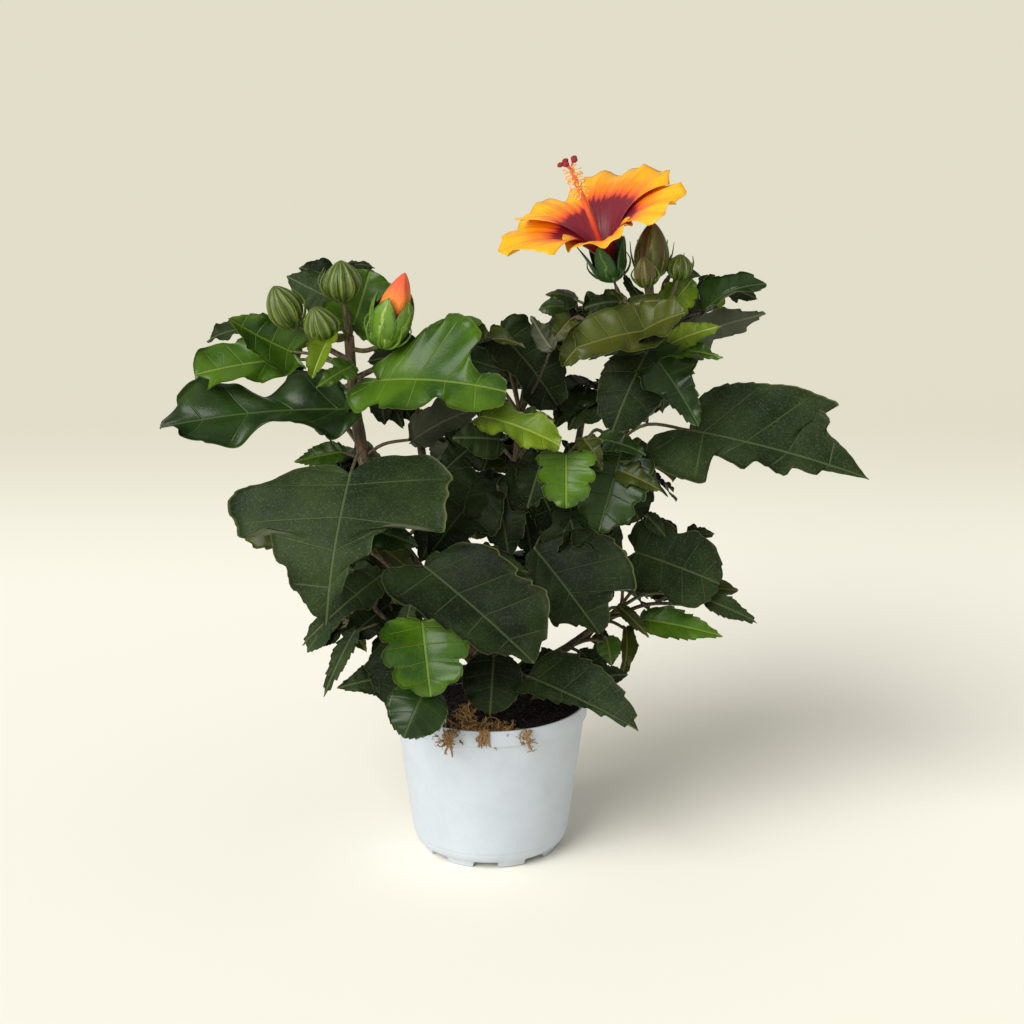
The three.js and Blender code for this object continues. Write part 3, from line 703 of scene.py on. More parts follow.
# mass, foot and tip as shares of its box, the way the upper side faces, outline, width in mm, look, form
SHOWING = [
    ("left_arm", (1.17, 0.6, 0.56), (0.05, 0.25, 0.34), (-0.1, -0.6, 0.8), STRAP, 46, GLOSSY, ROLLED),
    ("left_crown_outer", (0.9, 0.6, 0.35), (0.36, 0.2, 0.88), (-0.2, -0.8, 0.6), BROAD, 52, YOUNG, CUPPED),
    ("left_crown_outer", (0.96, 0.6, 0.26), (0.04, 0.3, 0.12), (0, -0.6, 0.8), STRAP, 40, YOUNG, ROLLED),
    ("left_crown_back", (0.56, 0.52, 0.28), (0.04, 0.8, 0.66), (-0.1, -1, 0.3), BROAD, 44, OLD, WAVY),
    ("left_crown_back", (0.66, 0.31, -0.05), (0.82, 0.6, 0.8), (0.1, -1, 0.2), BLUNT, 48, YOUNG, WAVY),
    ("left_crown_front", (0.18, 0.7, 0.38), (0.99, 0.2, 0.37), (0.05, -0.7, 0.7),
     CROWN_FRONT, 0, YOUNG, CUT_WAVY),
    ("left_crown_inner", (0.49, 0.55, 1.06), (0.22, 0.08, 0.44), (-0.2, -0.9, 0.4),
     SCALLOPED, 22, LIME, FOLDED),
    ("left_crown_inner", (0.81, 0.96, 0.44), (0.26, 0.43, 0.18), (-0.2, -0.9, 0.5), LOBED, 20, YOUNG, WAVY),
    ("left_under", (0.93, 0.09, 0.93), (0.43, 0.3, 0.42), (-0.3, -0.8, 0.5), OVAL, 20, GLOSSY, WAVY),
    ("left_under", (0.79, 0.57, 0.09), (-0.08, 0.7, -0.07), (0, -0.8, 0.6), OVAL, 17, YOUNG, CALM),
    ("centre_shade", (0.14, 0.27, -0.38), (0.8, 0.58, 0.2), (0, 0.9, 0.5), OVAL, 34, OLD, WAVY),
    ("centre_shade", (0.63, 0.49, 0.05), (0.88, 0.67, 0.99), (0, 1, 0.2), OVAL, 24, OLD, WAVY),
    ("centre_crown", (-0.03, 0.37, 0.67), (0.44, 0.06, 0.76), (0, -0.5, 0.9), LOBED, 26, OLIVE, CURLED),
    ("centre_crown", (0.22, 0.41, 0.82), (0.72, 0.45, 0.05), (0.3, -0.8, 0.5), BLUNT, 42, OLD_PAINTED_SHADE, RUFFLED),
    ("centre_front", (-0.09, 0.82, 0.98), (0.96, 0.13, 0.48), (0, -0.6, 0.8), STRAP, 27, LIME, WAVY),
    ("centre_fan", (0.42, 0.45, 0.86), (0.42, 0.01, 0.14), (0, -1, 0.4), SCALLOPED, 38, YOUNG, RUFFLED),
    ("centre_fan", (0.7, 0.76, 1.01), (0.96, 0.38, 0.63), (0.3, -0.8, 0.5), LOBED, 20, OLIVE, RUFFLED),
    ("centre_right", (0.47, 0.77, 0.87), (0.15, 0.15, 0.08), (0, -0.9, 0.4), SCALLOPED, 46, GLOSSY, WAVY),
    ("centre_right", (0.41, 0.55, 0.69), (0.99, 0.26, 0.5), (0.2, -0.8, 0.6), LOBED, 22, OLIVE, WAVY),
    ("centre_right", (0.17, 0.66, 1.0), (0.77, 0.21, 0.9), (0.1, -0.6, 0.8), LOBED, 26, GLOSSY, WAVY),
    ("right_crown_front", (0.72, 0.6, 0.22), (-0.04, 0.25, -0.06), (-0.1, -0.6, 0.8),
     BLUNT, 42, OLIVE, ROLLED),
    ("right_crown_front", (0.64, 0.58, 0.2), (1.06, 0.28, 0.7), (0.1, -0.6, 0.8), BLUNT, 32, OLIVE, ROLLED),
    ("right_crown_left", (0.88, 0.5, 0.42), (0.6, 0.3, 0.97), (-0.3, -0.8, 0.4), BROAD, 44, GLOSSY, CUPPED),
    ("right_crown_left", (0.77, 0.33, 0.54), (0.34, 0.2, 0.05), (-0.2, -0.9, 0.3), ROUND, 30, OLIVE, CURLED),
    ("right_crown_left", (0.24, 0.5, 0.2), (0.01, 0.63, 0.61), (-0.5, 0.8, 0.2), OVAL, 14, OLD, WAVY),
    ("right_crown_left", (1.21, 0.5, 0.32), (0.63, 0.46, 0.08), (0, 0.7, 0.7), OVAL, 20, OLD, CALM),
    ("right_drop", (0.46, 0.93, 0.83), (0.97, 0.14, 0.13), (0.25, -0.9, 0.4), BROAD, 42, GLOSSY, WAVY),
    ("right_drop", (0.39, 0.99, 0.9), (-0.04, 0.32, 0.03), (-0.15, -0.95, 0.35), ROUND, 46, OLD_PAINTED_SHADE, DRAPED),
    ("right_crown_inner", (-0.07, 0.8, 0.19), (0.96, 0.11, 0.26), (0, -0.5, 0.9), LOBED, 24, YOUNG, WAVY),
    ("right_crown_inner", (0.06, 0.8, 0.36), (0.95, 0.45, 0.92), (-0.2, -0.8, 0.6), OVAL, 18, LIME, WAVY),
    ("right_crown_outer", (-0.14, 0.5, -0.28), (0.99, 0.59, 0.21), (0, 1, 0.2), BROAD, 40, OLD, WAVY),
    ("right_crown_outer", (0.25, 0.5, 0.26), (0.97, 0.36, 0.76), (0, -0.7, 0.7), ROUND, 30, GLOSSY, CURLED),
    ("right_crown_top", (0.53, 0.35, -0.3), (0.81, 0.27, 0.61), (0, -1, 0.3), SCALLOPED, 28, LIME, CUPPED),
    ("right_crown_top", (1.18, 0.51, -0.49), (1.06, 0.43, 0.49), (0, -1, 0.3), OVAL, 12, LIME, WAVY),
    ("right_crown_top", (0.19, 0.43, -0.29), (-0.18, 0.35, 0.87), (-0.4, -0.9, 0), OVAL, 13, OLD, FOLDED),
    ("right_arm", (0.11, 0.59, 0.71), (0.99, 0.32, 0.26), (0.1, -0.75, 0.65), RIGHT_ARM, 0, OLD, CUT),
    ("front_left", (0.56, 0.9, 0.91), (0.46, 0.03, 0.04), (-0.05, -0.8, 0.6), FRONT_LEFT, 0, OLD, CUT_DRAPED),
    ("front_centre", (0.21, 0.81, 0.88), (0.92, 0.13, 0.05), (0, -0.75, 0.65), FRONT_CENTRE, 0, OLD_PAINTED_SHADE, CALM),
    ("heart", (0.55, 0.5, 0.77), (0.03, 0.15, 0.13), (-0.1, -0.9, 0.4), BROAD, 56, OLD_PAINTED_SHADE, WAVY),
    ("heart", (0.71, 0.54, 0.8), (0.83, 0.19, 0.09), (0.1, -0.9, 0.4), BROAD, 52, OLD_PAINTED_SHADE, WAVY),
    ("heart", (-0.1, 0.06, -0.06), (-0.29, -0.03, 0.42), (-0.3, -0.9, 0.2), OVAL, 15, GLOSSY, CALM),
    ("front_right", (0.13, 0.78, 0.67), (0.7, 0.1, 0.07), (0.1, -0.85, 0.5), FRONT_RIGHT, 0, OLD_PAINTED_SHADE, CALM),
    ("low_front", (0.73, 0.76, 0.82), (0.84, 0.19, 0.34), (0, -0.85, 0.5), SCALLOPED, 56, YOUNG, RUFFLED),
    ("low_front", (0.78, 0.59, 0.35), (0.51, 0.07, 0.05), (-0.1, -0.9, 0.3), ROUND, 42, GLOSSY, DRAPED),
    ("low_arrow", (0.19, 0.79, 0.66), (0.99, 0.09, 0.1), (0.1, -0.75, 0.65), ARROW_WIDE, 0, OLD, CALM),
    ("low_arrow", (-0.06, 0.79, 0.99), (-0.09, 0.5, 0.18), (0, -0.95, 0.3), ROUND, 42, OLD_PAINTED_SHADE, DRAPED),
    ("low_left", (0.91, 0.79, 0.9), (0.11, 0.21, 0.44), (-0.3, -0.8, 0.6), BROAD, 30, OLD, CALM),
    ("low_left", (0.64, 0.53, 0.51), (0.31, 0.32, 0.02), (-0.3, -0.8, 0.4), OVAL, 13, OLD, CALM),
    ("low_left", (0.92, 0.58, 0.13), (0.45, 0.32, 0.09), (-0.2, -0.8, 0.5), ARROW, 26, OLD, WAVY),
    ("right_low_round", (0.04, 0.51, 0.56), (0.94, 0.58, 0.04), (0.15, -0.85, 0.5), BLUNT, 54, OLD, CALM),
    ("right_low_long", (0.09, 0.21, 0.42), (0.72, -0.01, 0.13), (0.1, -0.7, 0.7), OVAL, 24, YOUNG, CALM),
    ("right_low_long", (0.59, 0.57, 0.73), (1.0, 0.49, 0.27), (0.1, -0.7, 0.7), OVAL, 16, OLD, CALM),
    ("right_low_long", (-0.1, 0.06, 0.74), (0.14, -0.3, 0.19), (0.1, -0.7, 0.7), OVAL, 10, OLIVE, CALM),
    ("right_low_hang", (0.92, 0.92, 0.72), (0.8, 0.29, -0.01), (0.2, -0.9, 0.2), OVAL, 17, OLIVE, CURLED),
    ("right_low_hang", (0.02, 0.65, 0.39), (0.68, 0.29, 0.09), (0.2, -0.9, 0.3), OVAL, 12, OLD, CALM),
    ("right_low_round", (0.15, 0.58, 1.13), (0.36, 0.66, 0.77), (0.2, -0.8, 0.4), OVAL, 12, OLD, CALM),
    # from here on, leaves in painted shade, set into gaps where the crown's inside lies in shade
    ("heart", (1.74, 0.55, 0.75), (1.12, 0.35, 0.03), (0, -0.85, 0.5), BROAD, 54, OLD_PAINTED_SHADE, WAVY),
    ("heart", (1.02, 0.6, 0.98), (1.4, 0.45, 0.19), (0, -0.85, 0.5), BROAD, 48, OLD_PAINTED_SHADE, WAVY),
    ("centre_front", (0.2, 0.9, 0.37), (-0.45, 0.6, 0.52), (0, -0.85, 0.5), OVAL, 30, OLD_PAINTED_SHADE, WAVY),
    ("centre_fan", (0.08, 0.7, 0.78), (-0.16, 0.5, 0.03), (0, -0.85, 0.5), OVAL, 28, OLD_PAINTED_SHADE, WAVY),
    ("low_left", (0.99, 0.9, 0.66), (0.54, 0.6, 0.42), (0, -0.85, 0.5), BROAD, 42, OLD_PAINTED_SHADE, WAVY),
    ("front_right", (0.62, 0.9, 0.94), (0.86, 0.8, 0.56), (0, -0.85, 0.5), BROAD, 44, OLD_PAINTED_SHADE, WAVY),
    ("centre_crown", (0.2, 0.7, 0.58), (0.0, 0.5, -0.01), (0, -0.85, 0.5), BROAD, 40, OLIVE, RUFFLED),
    ("centre_right", (0.26, 0.8, 0.65), (0.71, 0.6, 0.13), (0, -0.85, 0.5), BLUNT, 38, OLD_PAINTED_SHADE, WAVY),
    ("heart", (0.96, 0.8, 0.61), (1.06, 0.7, 0.01), (0, -0.85, 0.5), OVAL, 36, OLD_PAINTED_SHADE, WAVY),
    ("heart", (0.18, 0.9, 0.4), (-0.07, 0.8, -0.08), (0, -0.85, 0.5), OVAL, 30, OLD_PAINTED_SHADE, WAVY),
    ("centre_shade", (0.62, 0.6, -0.56), (0.34, 0.3, -1.04), (0, -0.85, 0.5), BROAD, 36, OLD_PAINTED_SHADE, WAVY),
    ("low_left", (1.13, 0.9, 0.47), (0.8, 0.7, 0.22), (0, -0.85, 0.5), BROAD, 36, OLD_PAINTED_SHADE, WAVY),
]


def halves(outline, width, length):
    """The two margins of a leaf, a given width in millimetres for the outlines that ask for one."""
    if isinstance(outline, tuple):
        return outline
    widest = max(y for x, y in outline)
    scale = width * MM / 2 / length / widest
    side = [(x, y * scale) for x, y in outline]
    return side, side


FOLIAGE = ["left_arm", "left_crown_front", "left_crown_inner", "left_crown_outer", "left_crown_back",
           "left_under", "centre_shade", "centre_crown", "centre_front", "centre_fan", "centre_right",
           "right_crown_front", "right_crown_left", "right_drop", "right_crown_inner",
           "right_crown_outer", "right_crown_top", "right_arm", "front_left", "front_centre", "heart",
           "front_right", "low_front", "low_arrow", "low_left", "right_low_round", "right_low_long",
           "right_low_hang"]
BACK = [f"back_{level}_{number}" for level in ("high", "middle", "low") for number in (1, 2, 3)]
sprays = {node: Spray() for node in FOLIAGE + BACK}
stems = {node: Stems() for node in FOLIAGE + BACK}

rng = np.random.default_rng(9)
for mass, foot, tip, facing, outline, width, look, form in SHOWING:
    root, end = spot(mass, foot), spot(mass, tip)
    left, right = halves(outline, width, np.linalg.norm(end - root))
    sprays[mass].add(root, end, facing, left, right, look, form, rng, FINE)
    start = nearest_limb(root)[0]
    stems[mass].petiole(start, root, unit(end - root), 0.0012, DARK_STALK if "right_c" in mass else RED_STALK)


# ------------------------------------------------------------------ leaves and twigs grown by rule
# how many leaves each mass grows beside the ones above, on a twig from its nearest limb
GROWN = {"left_crown_front": 10, "left_crown_inner": 3, "left_crown_outer": 1, "left_crown_back": 4,
         "left_under": 2, "centre_shade": 12, "centre_crown": 12, "centre_front": 8, "centre_fan": 12,
         "centre_right": 15, "right_crown_front": 5, "right_crown_left": 4, "right_drop": 8,
         "right_crown_inner": 8, "right_crown_outer": 2, "right_crown_top": 3, "front_left": 6,
         "front_centre": 12, "heart": 30, "front_right": 18, "low_front": 10, "low_arrow": 9,
         "low_left": 6, "right_low_round": 2, "right_low_long": 2, "right_low_hang": 4}
for node in BACK:
    GROWN[node] = 17
GOLDEN_TURN = math.radians(137.5)
KINDS = [LOBED, BROAD, OVAL, BLUNT, BROAD]
SHAPES = [CALM, WAVY, DRAPED, WAVY, RUFFLED]
TWIG_POINTS = 24
TRIES = 40


def grown_leaf(mass, node_point, root, tip, facing, rng, young):
    """One leaf of a seeded kind, shape and age, with its petiole."""
    reach = np.linalg.norm(tip - root)
    left, right = halves(KINDS[rng.integers(len(KINDS))], reach * rng.uniform(0.68, 1.05) / MM, reach)
    # old leaves take the half-bright copy of their skin two times in five: painted shade
    look = rng.choice([YOUNG, GLOSSY, OLIVE]) if young else rng.choice([OLD, OLD_PAINTED_SHADE, OLD_PAINTED_SHADE, GLOSSY, OLIVE])
    shape = SHAPES[rng.integers(len(SHAPES))]
    sprays[mass].add(root, tip, facing + rng.normal(size=3) * 0.2, left, right, int(look), shape, rng)
    stems[mass].petiole(node_point, root, unit(tip - root), 0.001)


def grow(mass, count, rng, behind):
    """A twig from the nearest limb into a mass, with leaves set round it at the golden turn."""
    low, high = corners(mass)
    size = high - low
    middle = (low + high) / 2
    outward = unit(np.array([middle[0], middle[1], 0.0]) + 1e-6)
    start, girth = nearest_limb(middle)
    heart = low + size * (0.5, 1.0, 0.5) if behind else middle + outward * 0.22 * size.min()
    bow = (start + heart) / 2 + UP * 0.1 * np.linalg.norm(heart - start)
    twig = smooth_path([start, bow, heart], TWIG_POINTS)
    length = np.linalg.norm(heart - start)
    wear = WOODY_TWIG if length > 0.05 else GREEN_TWIG
    stems[mass].add(twig, min(girth * 0.8, 0.0022), 0.0011, wear, 8, TWIG_POINTS)
    first = rng.random() * RANDOM_TURN
    for k in range(count):
        share = (k + 0.6) / count
        node_point = twig[int((0.45 + 0.55 * share) * (TWIG_POINTS - 1))]
        turn = first + GOLDEN_TURN * k
        for attempt in range(TRIES):
            spin = turn + rng.normal() * (0.35 + attempt * 0.04)
            if behind:
                # seen from the front the leaves fan out across the mass, in its rear half
                root = low + size * (0.5 + 0.34 * math.cos(spin) * rng.random(), 0.95,
                                     0.55 + 0.35 * math.sin(spin) * rng.random())
                root[1] += rng.uniform(0.0, 0.024)
                fan = np.array([math.cos(spin), rng.uniform(-0.3, 0.15), math.sin(spin) * 0.8 - 0.35])
                reach = rng.uniform(0.4, 0.72) * max(size[0], size[2]) * (1 - 0.016 * attempt)
                tip = root + unit(fan) * min(max(reach, 0.02), 0.072)
            else:
                around = unit(np.array([math.cos(spin), math.sin(spin), 0.0]) + outward * 0.75)
                lift = rng.uniform(0.0, 0.55) * (1 - attempt / 50)
                root = node_point + unit(around + UP * lift) * rng.uniform(0.016, 0.034) * (1.1 - 0.5 * share)
                way = unit(around + UP * rng.uniform(-0.75, -0.05) + unit(heart - start) * 0.2)
                tip = root + way * rng.uniform(0.05, 0.08) * (1 - 0.01 * attempt) * (1.08 - 0.3 * share)
            shares = np.concatenate([(root - low) / size, (tip - low) / size])
            if behind:
                fits = np.hypot(shares[[0, 3]] - 0.5, shares[[2, 5]] - 0.5).max() < 0.47
            else:
                fits = shares.min() >= 0 and shares.max() <= 1
            if fits:
                break
        else:
            continue
        facing = UP * 0.9 + outward * rng.uniform(0.2, 0.7) + np.array([0, -0.8 if behind else 0.0, 0])
        grown_leaf(mass, node_point, root, tip, facing, rng, share > 0.8 and rng.random() < 0.35)


for number, (mass, count) in enumerate(GROWN.items()):
    grow(mass, count, np.random.default_rng(200 + number), mass not in BACK)


# ------------------------------------------------------------------ bloom and buds
PETAL_THICK = 0.0005
BAKE_ACROSS, BAKE_DOWN = 4, 3     # cells of the bake map, two for each petal


def petal_blade(sheaf, grid, flat, number):
    """A thin closed petal over a grid of points, the first look on top and the second beneath."""
    rows, columns = grid.shape[:2]
    top = grid.reshape(-1, 3)
    own = flat.reshape(-1, 2)
    quads = grid_faces(rows, columns)
    edge = 1 - 0.5 * np.clip(np.abs(own[:, 1:2]) * 4 - 3, 0, 1)
    under = top - normals_of(top, [quads]) * PETAL_THICK * edge
    size = len(top)
    ring = border(rows, columns)
    after = np.roll(ring, -1)
    rim = np.stack([after, ring, ring + size, after + size], -1)
    maps = {"petal": [], "OFBake": []}
    for part, picked in enumerate([quads, quads[:, ::-1], np.stack([after, ring, ring, after], -1)]):
        order = picked.ravel()
        maps["petal"].append(own[order])
        place = (own[order] - own.min(0)) / (own.max(0) - own.min(0)) * 0.92 + 0.04
        if part == 2:
            outer = np.array([0, 0, 1, 1] * len(ring))[:, None]
            place = (place - 0.5) * (1 + 0.04 * outer) + 0.5
        cell = 2 * number + (part == 1)
        maps["OFBake"].append((place + (cell % BAKE_ACROSS, cell // BAKE_ACROSS)) / (BAKE_ACROSS, BAKE_DOWN))
    wear = np.repeat([0, 1, 0], [len(quads), len(quads), len(rim)])
    sheaf.add(np.vstack([top, under]), [quads, quads[:, ::-1] + size, rim], wear,
              **{key: np.concatenate(value) for key, value in maps.items()})


def petal_finish(name, eye, middle, outer, margin_tone, starts, gloss=0.38):
    """Bands of colour from a petal's claw to its margin, feathered along its veins."""
    f = Finish(name)
    t = f.parts(f.place("petal"))[1]
    drawn = f.node("ShaderNodeMapping", {"Vector": f.place("petal"), "Scale": (26.0, 1.6, 1.0)}).outputs[0]
    feather = f.noise(1.0, drawn, detail=4.0)
    far = f.math("MULTIPLY_ADD", feather, 0.34, f.math("SUBTRACT", t, 0.17))
    colour = f.mix(f.step(far, starts[0], starts[0] + 0.05), eye, middle)
    colour = f.mix(f.step(far, starts[0] + 0.03, starts[1]), colour, outer)
    colour = f.mix(f.step(far, starts[1], starts[2]), colour, margin_tone)
    vein = f.step(feather, 0.42, 0.3)
    colour = f.mix(f.math("MULTIPLY", vein, 0.28), colour, middle)
    pale = f.math("MULTIPLY", f.step(t, 0.2, 0.05), f.step(feather, 0.55, 0.62))
    colour = f.mix(f.math("MULTIPLY", pale, 0.8), colour, (0.75, 0.5, 0.42))
    normal = f.bump(feather, 0.0012, 0.6)
    normal = f.bump(f.noise(700.0), 0.0002, 0.4, normal)
    return f.done(colour, gloss, normal, Subsurface_Weight=0.12, Subsurface_Scale=1.0,
                  Subsurface_Radius=(0.004, 0.0015, 0.0006))


INNER = petal_finish("petal_inner", (0.19, 0.006, 0.018), (0.8, 0.075, 0.02), (0.95, 0.24, 0.006),
                     (0.96, 0.43, 0.004), (0.56, 0.7, 0.86))
OUTER = petal_finish("petal_outer", (0.2, 0.003, 0.002), (0.5, 0.02, 0.002), (0.85, 0.15, 0.004),
                     (0.96, 0.43, 0.004), (0.55, 0.8, 0.93), 0.45)

BLOOM_AXIS = unit((-0.29, -0.07, 0.957))
BLOOM_RIGHT = unit(np.array([1.0, 0, 0]) - BLOOM_AXIS * BLOOM_AXIS[0])
BLOOM_BACK = np.cross(BLOOM_AXIS, BLOOM_RIGHT)
CALYX_FOOT = lines["bloom_stalk"][0][-1] - BLOOM_AXIS * 0.5 * MM


def bloom_point(turn, radius, height):
    """A point round the bloom's axis: turn in degrees from its right side, through its back."""
    a = np.radians(turn)
    side = np.multiply.outer(np.cos(a), BLOOM_RIGHT) + np.multiply.outer(np.sin(a), BLOOM_BACK)
    return CALYX_FOOT + side * np.asarray(radius)[..., None] + np.multiply.outer(height, BLOOM_AXIS)


# turn, reach, rim height, half width in degrees, roll of the rim, how pointed, tilt across, lift of its sides
PETALS = [(184, 64, 45, 52, 1, 0.36, -3, 0),
          (118, 57, 49, 44, 0, 0.08, -1, 0),
          (52, 62, 53, 44, 1, 0.15, 1, 0),
          (-6, 58, 47, 42, 2, 0.12, 2, 0),
          (-90, 35, 36, 74, 1, 0.42, 0, 5)]


def petal_profile(t, reach, height):
    """Distance from the axis and height up it, in millimetres, from a petal's claw to its margin."""
    return 4.0 + (reach - 4.0) * t**1.55, 11 + (height - 11) * (1 - (1 - t) ** 2.1)


petals = Sheaf(("petal", "OFBake"))
rng = np.random.default_rng(31)
for number, (turn, reach, height, half, roll, point, tilt, lift) in enumerate(PETALS):
    t = np.linspace(0, 1, 30)[:, None]
    w = np.linspace(-1, 1, 41)[None, :]
    lean = rng.random(5) * RANDOM_TURN
    outline = 1 - (0.08 + point * 0.55) * np.abs(w) ** (2.4 - point)
    outline = outline + t**5 * (0.03 * np.sin(7.3 * w + lean[0]) + 0.026 * np.sin(15 * w + lean[1]))
    outline = outline + t**9 * 0.02 * (np.abs(np.sin(17 * w + lean[2])) - 0.5)
    grown, level = petal_profile(t, reach, height)
    radius = grown * (1 + (outline - 1) * t**1.5)
    width = half * (0.94 + 0.1 * t - 0.28 * point * t**3)
    level = level - roll * t**5 + (0.9 + tilt * t**2) * w * (0.3 + t)
    ruffle = 2.6 * np.sin(8.6 * w + lean[3]) + 1.3 * np.sin(19 * w + lean[4])
    level = level + t**4 * ruffle + 0.25 * np.sin(26 * w + 3 * t) * t + lift * w**2 * t
    grid = bloom_point(turn + w * width, radius * MM, level * MM)
    across = np.broadcast_to(w * 0.5, radius.shape) * (0.3 + 0.7 * t)
    flat = np.stack([across, np.broadcast_to(t, radius.shape)], -1)
    # the inner side faces up the axis, so the rows run from side to side
    petal_blade(petals, grid.transpose(1, 0, 2), flat.transpose(1, 0, 2), number)
bloom = petals.piece("petals_open", [INNER, OUTER])
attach(bloom, "root")
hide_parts("petals")

f = Finish("column")
rise = f.parts(f.place())[2]
throat_z, tip_z = float(spot("column", (0, 0, 0))[2]), float(spot("column", (0, 0, 1))[2])
tone = f.mix(f.step(rise, throat_z + 0.012, tip_z - 0.012), (0.62, 0.004, 0.004), (0.9, 0.16, 0.03))
grain = f.noise(600.0)
tone = f.mix(f.math("MULTIPLY", grain, 0.3), tone, (0.95, 0.3, 0.12))
COLUMN = f.done(tone, 0.4, f.bump(grain, 0.0003, 0.5))
ANTHER = grainy("anther", 2500.0, (0.95, 0.42, 0.06), (1.0, 0.75, 0.28), 0.7, 0.0002, 0.8)
STIGMA = grainy("stigma", 2200.0, (0.16, 0.004, 0.01), (0.4, 0.02, 0.02), 0.75, 0.0003, 0.9)

COLUMN_AXIS = unit((-0.37, -0.06, 0.93))
COLUMN_FOOT = CALYX_FOOT + BLOOM_AXIS * 10 * MM
COLUMN_LENGTH = 69 * MM
COLUMN_RINGS = 40
column_path = smooth_path([COLUMN_FOOT, COLUMN_FOOT + COLUMN_AXIS * 0.03 + UP * 0.001,
                           COLUMN_FOOT + COLUMN_AXIS * COLUMN_LENGTH], COLUMN_RINGS)
column_radii = np.interp(np.linspace(0, 1, COLUMN_RINGS), [0, 0.3, 0.9, 1], [2.6, 2.0, 1.6, 1.0]) * MM
column = Sheaf()
column.add(*tube(column_path, column_radii, 20))
rod = column.piece("staminal_column", [COLUMN])
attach(rod, "root")
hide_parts("column")


def ball(centre, radius, squash, axis, rows=7, sides=10):
    """A small round bead as points and faces."""
    lean = np.linspace(0.0, 1.0, rows)
    path = centre + np.multiply.outer((lean - 0.5) * 2 * radius * squash, unit(axis))
    radii = radius * np.sqrt(np.clip(1 - (lean * 2 - 1) ** 2, 0.02, 1))
    return tube(path, radii, sides)


stigmas = Sheaf()
top = column_path[-1]
side_a, side_b = ring_frames(column_path[-3:])
for k in range(5):
    turn = math.radians(72 * k + 20)
    out = side_a[-1] * math.cos(turn) + side_b[-1] * math.sin(turn)
    style = smooth_path([top - COLUMN_AXIS * 0.002, top + COLUMN_AXIS * 0.0025 + out * 0.0028,
                         top + COLUMN_AXIS * 0.0035 + out * 0.0052], 6)
    stigmas.add(*tube(style, 0.0006, 6), wear=1)
    stigmas.add(*ball(style[-1] + COLUMN_AXIS * 0.0006, 0.0022, 0.75, COLUMN_AXIS), wear=0)
pads = stigmas.piece("stigma_pads", [STIGMA, COLUMN])
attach(pads, "root")
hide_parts("column")


# ------------------------------------------------------------------ things that repeat, by Geometry Nodes
def scatter(name, host, thing, material, density, seed, sizes, lean):
    """Sets copies of thing all over host, standing out from it, and returns them as one plain mesh."""
    wanted = {
        "Thing": ("Object", thing), "Finish": ("Material", material), "Density": ("Float", float(density)),
        "Smallest": ("Float", float(sizes[0])), "Largest": ("Float", float(sizes[1])),
        "Lean": ("Float", float(lean)), "Seed": ("Int", int(seed)),
    }
    tree = bpy.data.node_groups.new(name, "GeometryNodeTree")
    tree.interface.new_socket("Geometry", in_out="INPUT", socket_type="NodeSocketGeometry")
    for label, setting in wanted.items():
        tree.interface.new_socket(label, in_out="INPUT", socket_type="NodeSocket" + setting[0])
    tree.interface.new_socket("Geometry", in_out="OUTPUT", socket_type="NodeSocketGeometry")
    make = tree.nodes.new
    given, result = make("NodeGroupInput"), make("NodeGroupOutput")
    spread = make("GeometryNodeDistributePointsOnFaces")
    source = make("GeometryNodeObjectInfo")
    copies = make("GeometryNodeInstanceOnPoints")
    size, turn = make("FunctionNodeRandomValue"), make("FunctionNodeRandomValue")
    turn.data_type = "FLOAT_VECTOR"
    swing = make("FunctionNodeRotateRotation")
    swing.rotation_space = "LOCAL"
    real, paint = make("GeometryNodeRealizeInstances"), make("GeometryNodeSetMaterial")
    tilt_low, tilt_high = make("ShaderNodeCombineXYZ"), make("ShaderNodeCombineXYZ")
    tilt_high.inputs[2].default_value = RANDOM_TURN
    minus = make("ShaderNodeMath")
    minus.operation = "MULTIPLY"
    minus.inputs[1].default_value = -1.0
    links = [
        (given, "Geometry", spread, "Mesh"), (given, "Density", spread, "Density"),
        (given, "Seed", spread, "Seed"), (given, "Thing", source, "Object"),
        (spread, "Points", copies, "Points"), (source, "Geometry", copies, "Instance"),
        (given, "Smallest", size, 2), (given, "Largest", size, 3), (given, "Seed", size, "Seed"),
        (size, 1, copies, "Scale"),
        (given, "Lean", minus, 0), (minus, 0, tilt_low, 0), (minus, 0, tilt_low, 1),
        (given, "Lean", tilt_high, 0), (given, "Lean", tilt_high, 1),
        (tilt_low, 0, turn, 0), (tilt_high, 0, turn, 1), (given, "Seed", turn, "Seed"),
        (spread, "Rotation", swing, "Rotation"), (turn, 0, swing, "Rotate By"),
        (swing, 0, copies, "Rotation"), (copies, "Instances", real, "Geometry"),
        (real, "Geometry", paint, "Geometry"), (given, "Finish", paint, "Material"),
        (paint, "Geometry", result, "Geometry"),
    ]
    for giver, outlet, taker, inlet in links:
        tree.links.new(giver.outputs[outlet], taker.inputs[inlet])

    carrier = bpy.data.objects.new(name + "_carrier", host.data)
    bpy.context.scene.collection.objects.link(carrier)
    modifier = carrier.modifiers.new(name, "NODES")
    modifier.node_group = tree
    for item in tree.interface.items_tree:
        if item.in_out == "INPUT" and item.name in wanted:
            modifier[item.identifier] = wanted[item.name][1]
    bpy.context.view_layer.update()
    graph = bpy.context.evaluated_depsgraph_get()
    mesh = bpy.data.meshes.new_from_object(carrier.evaluated_get(graph))
    made = bpy.data.objects.new(name, mesh)
    bpy.context.scene.collection.objects.link(made)
    bpy.data.objects.remove(carrier)
    return made


def pattern(name, parts):
    """A small thing that scatter copies; it isn't shown itself."""
    sheaf = Sheaf()
    for points, faces in parts:
        sheaf.add(points, faces)
    made = sheaf.piece(name, [])
    made.hide_render = True
    made.hide_viewport = True
    return made


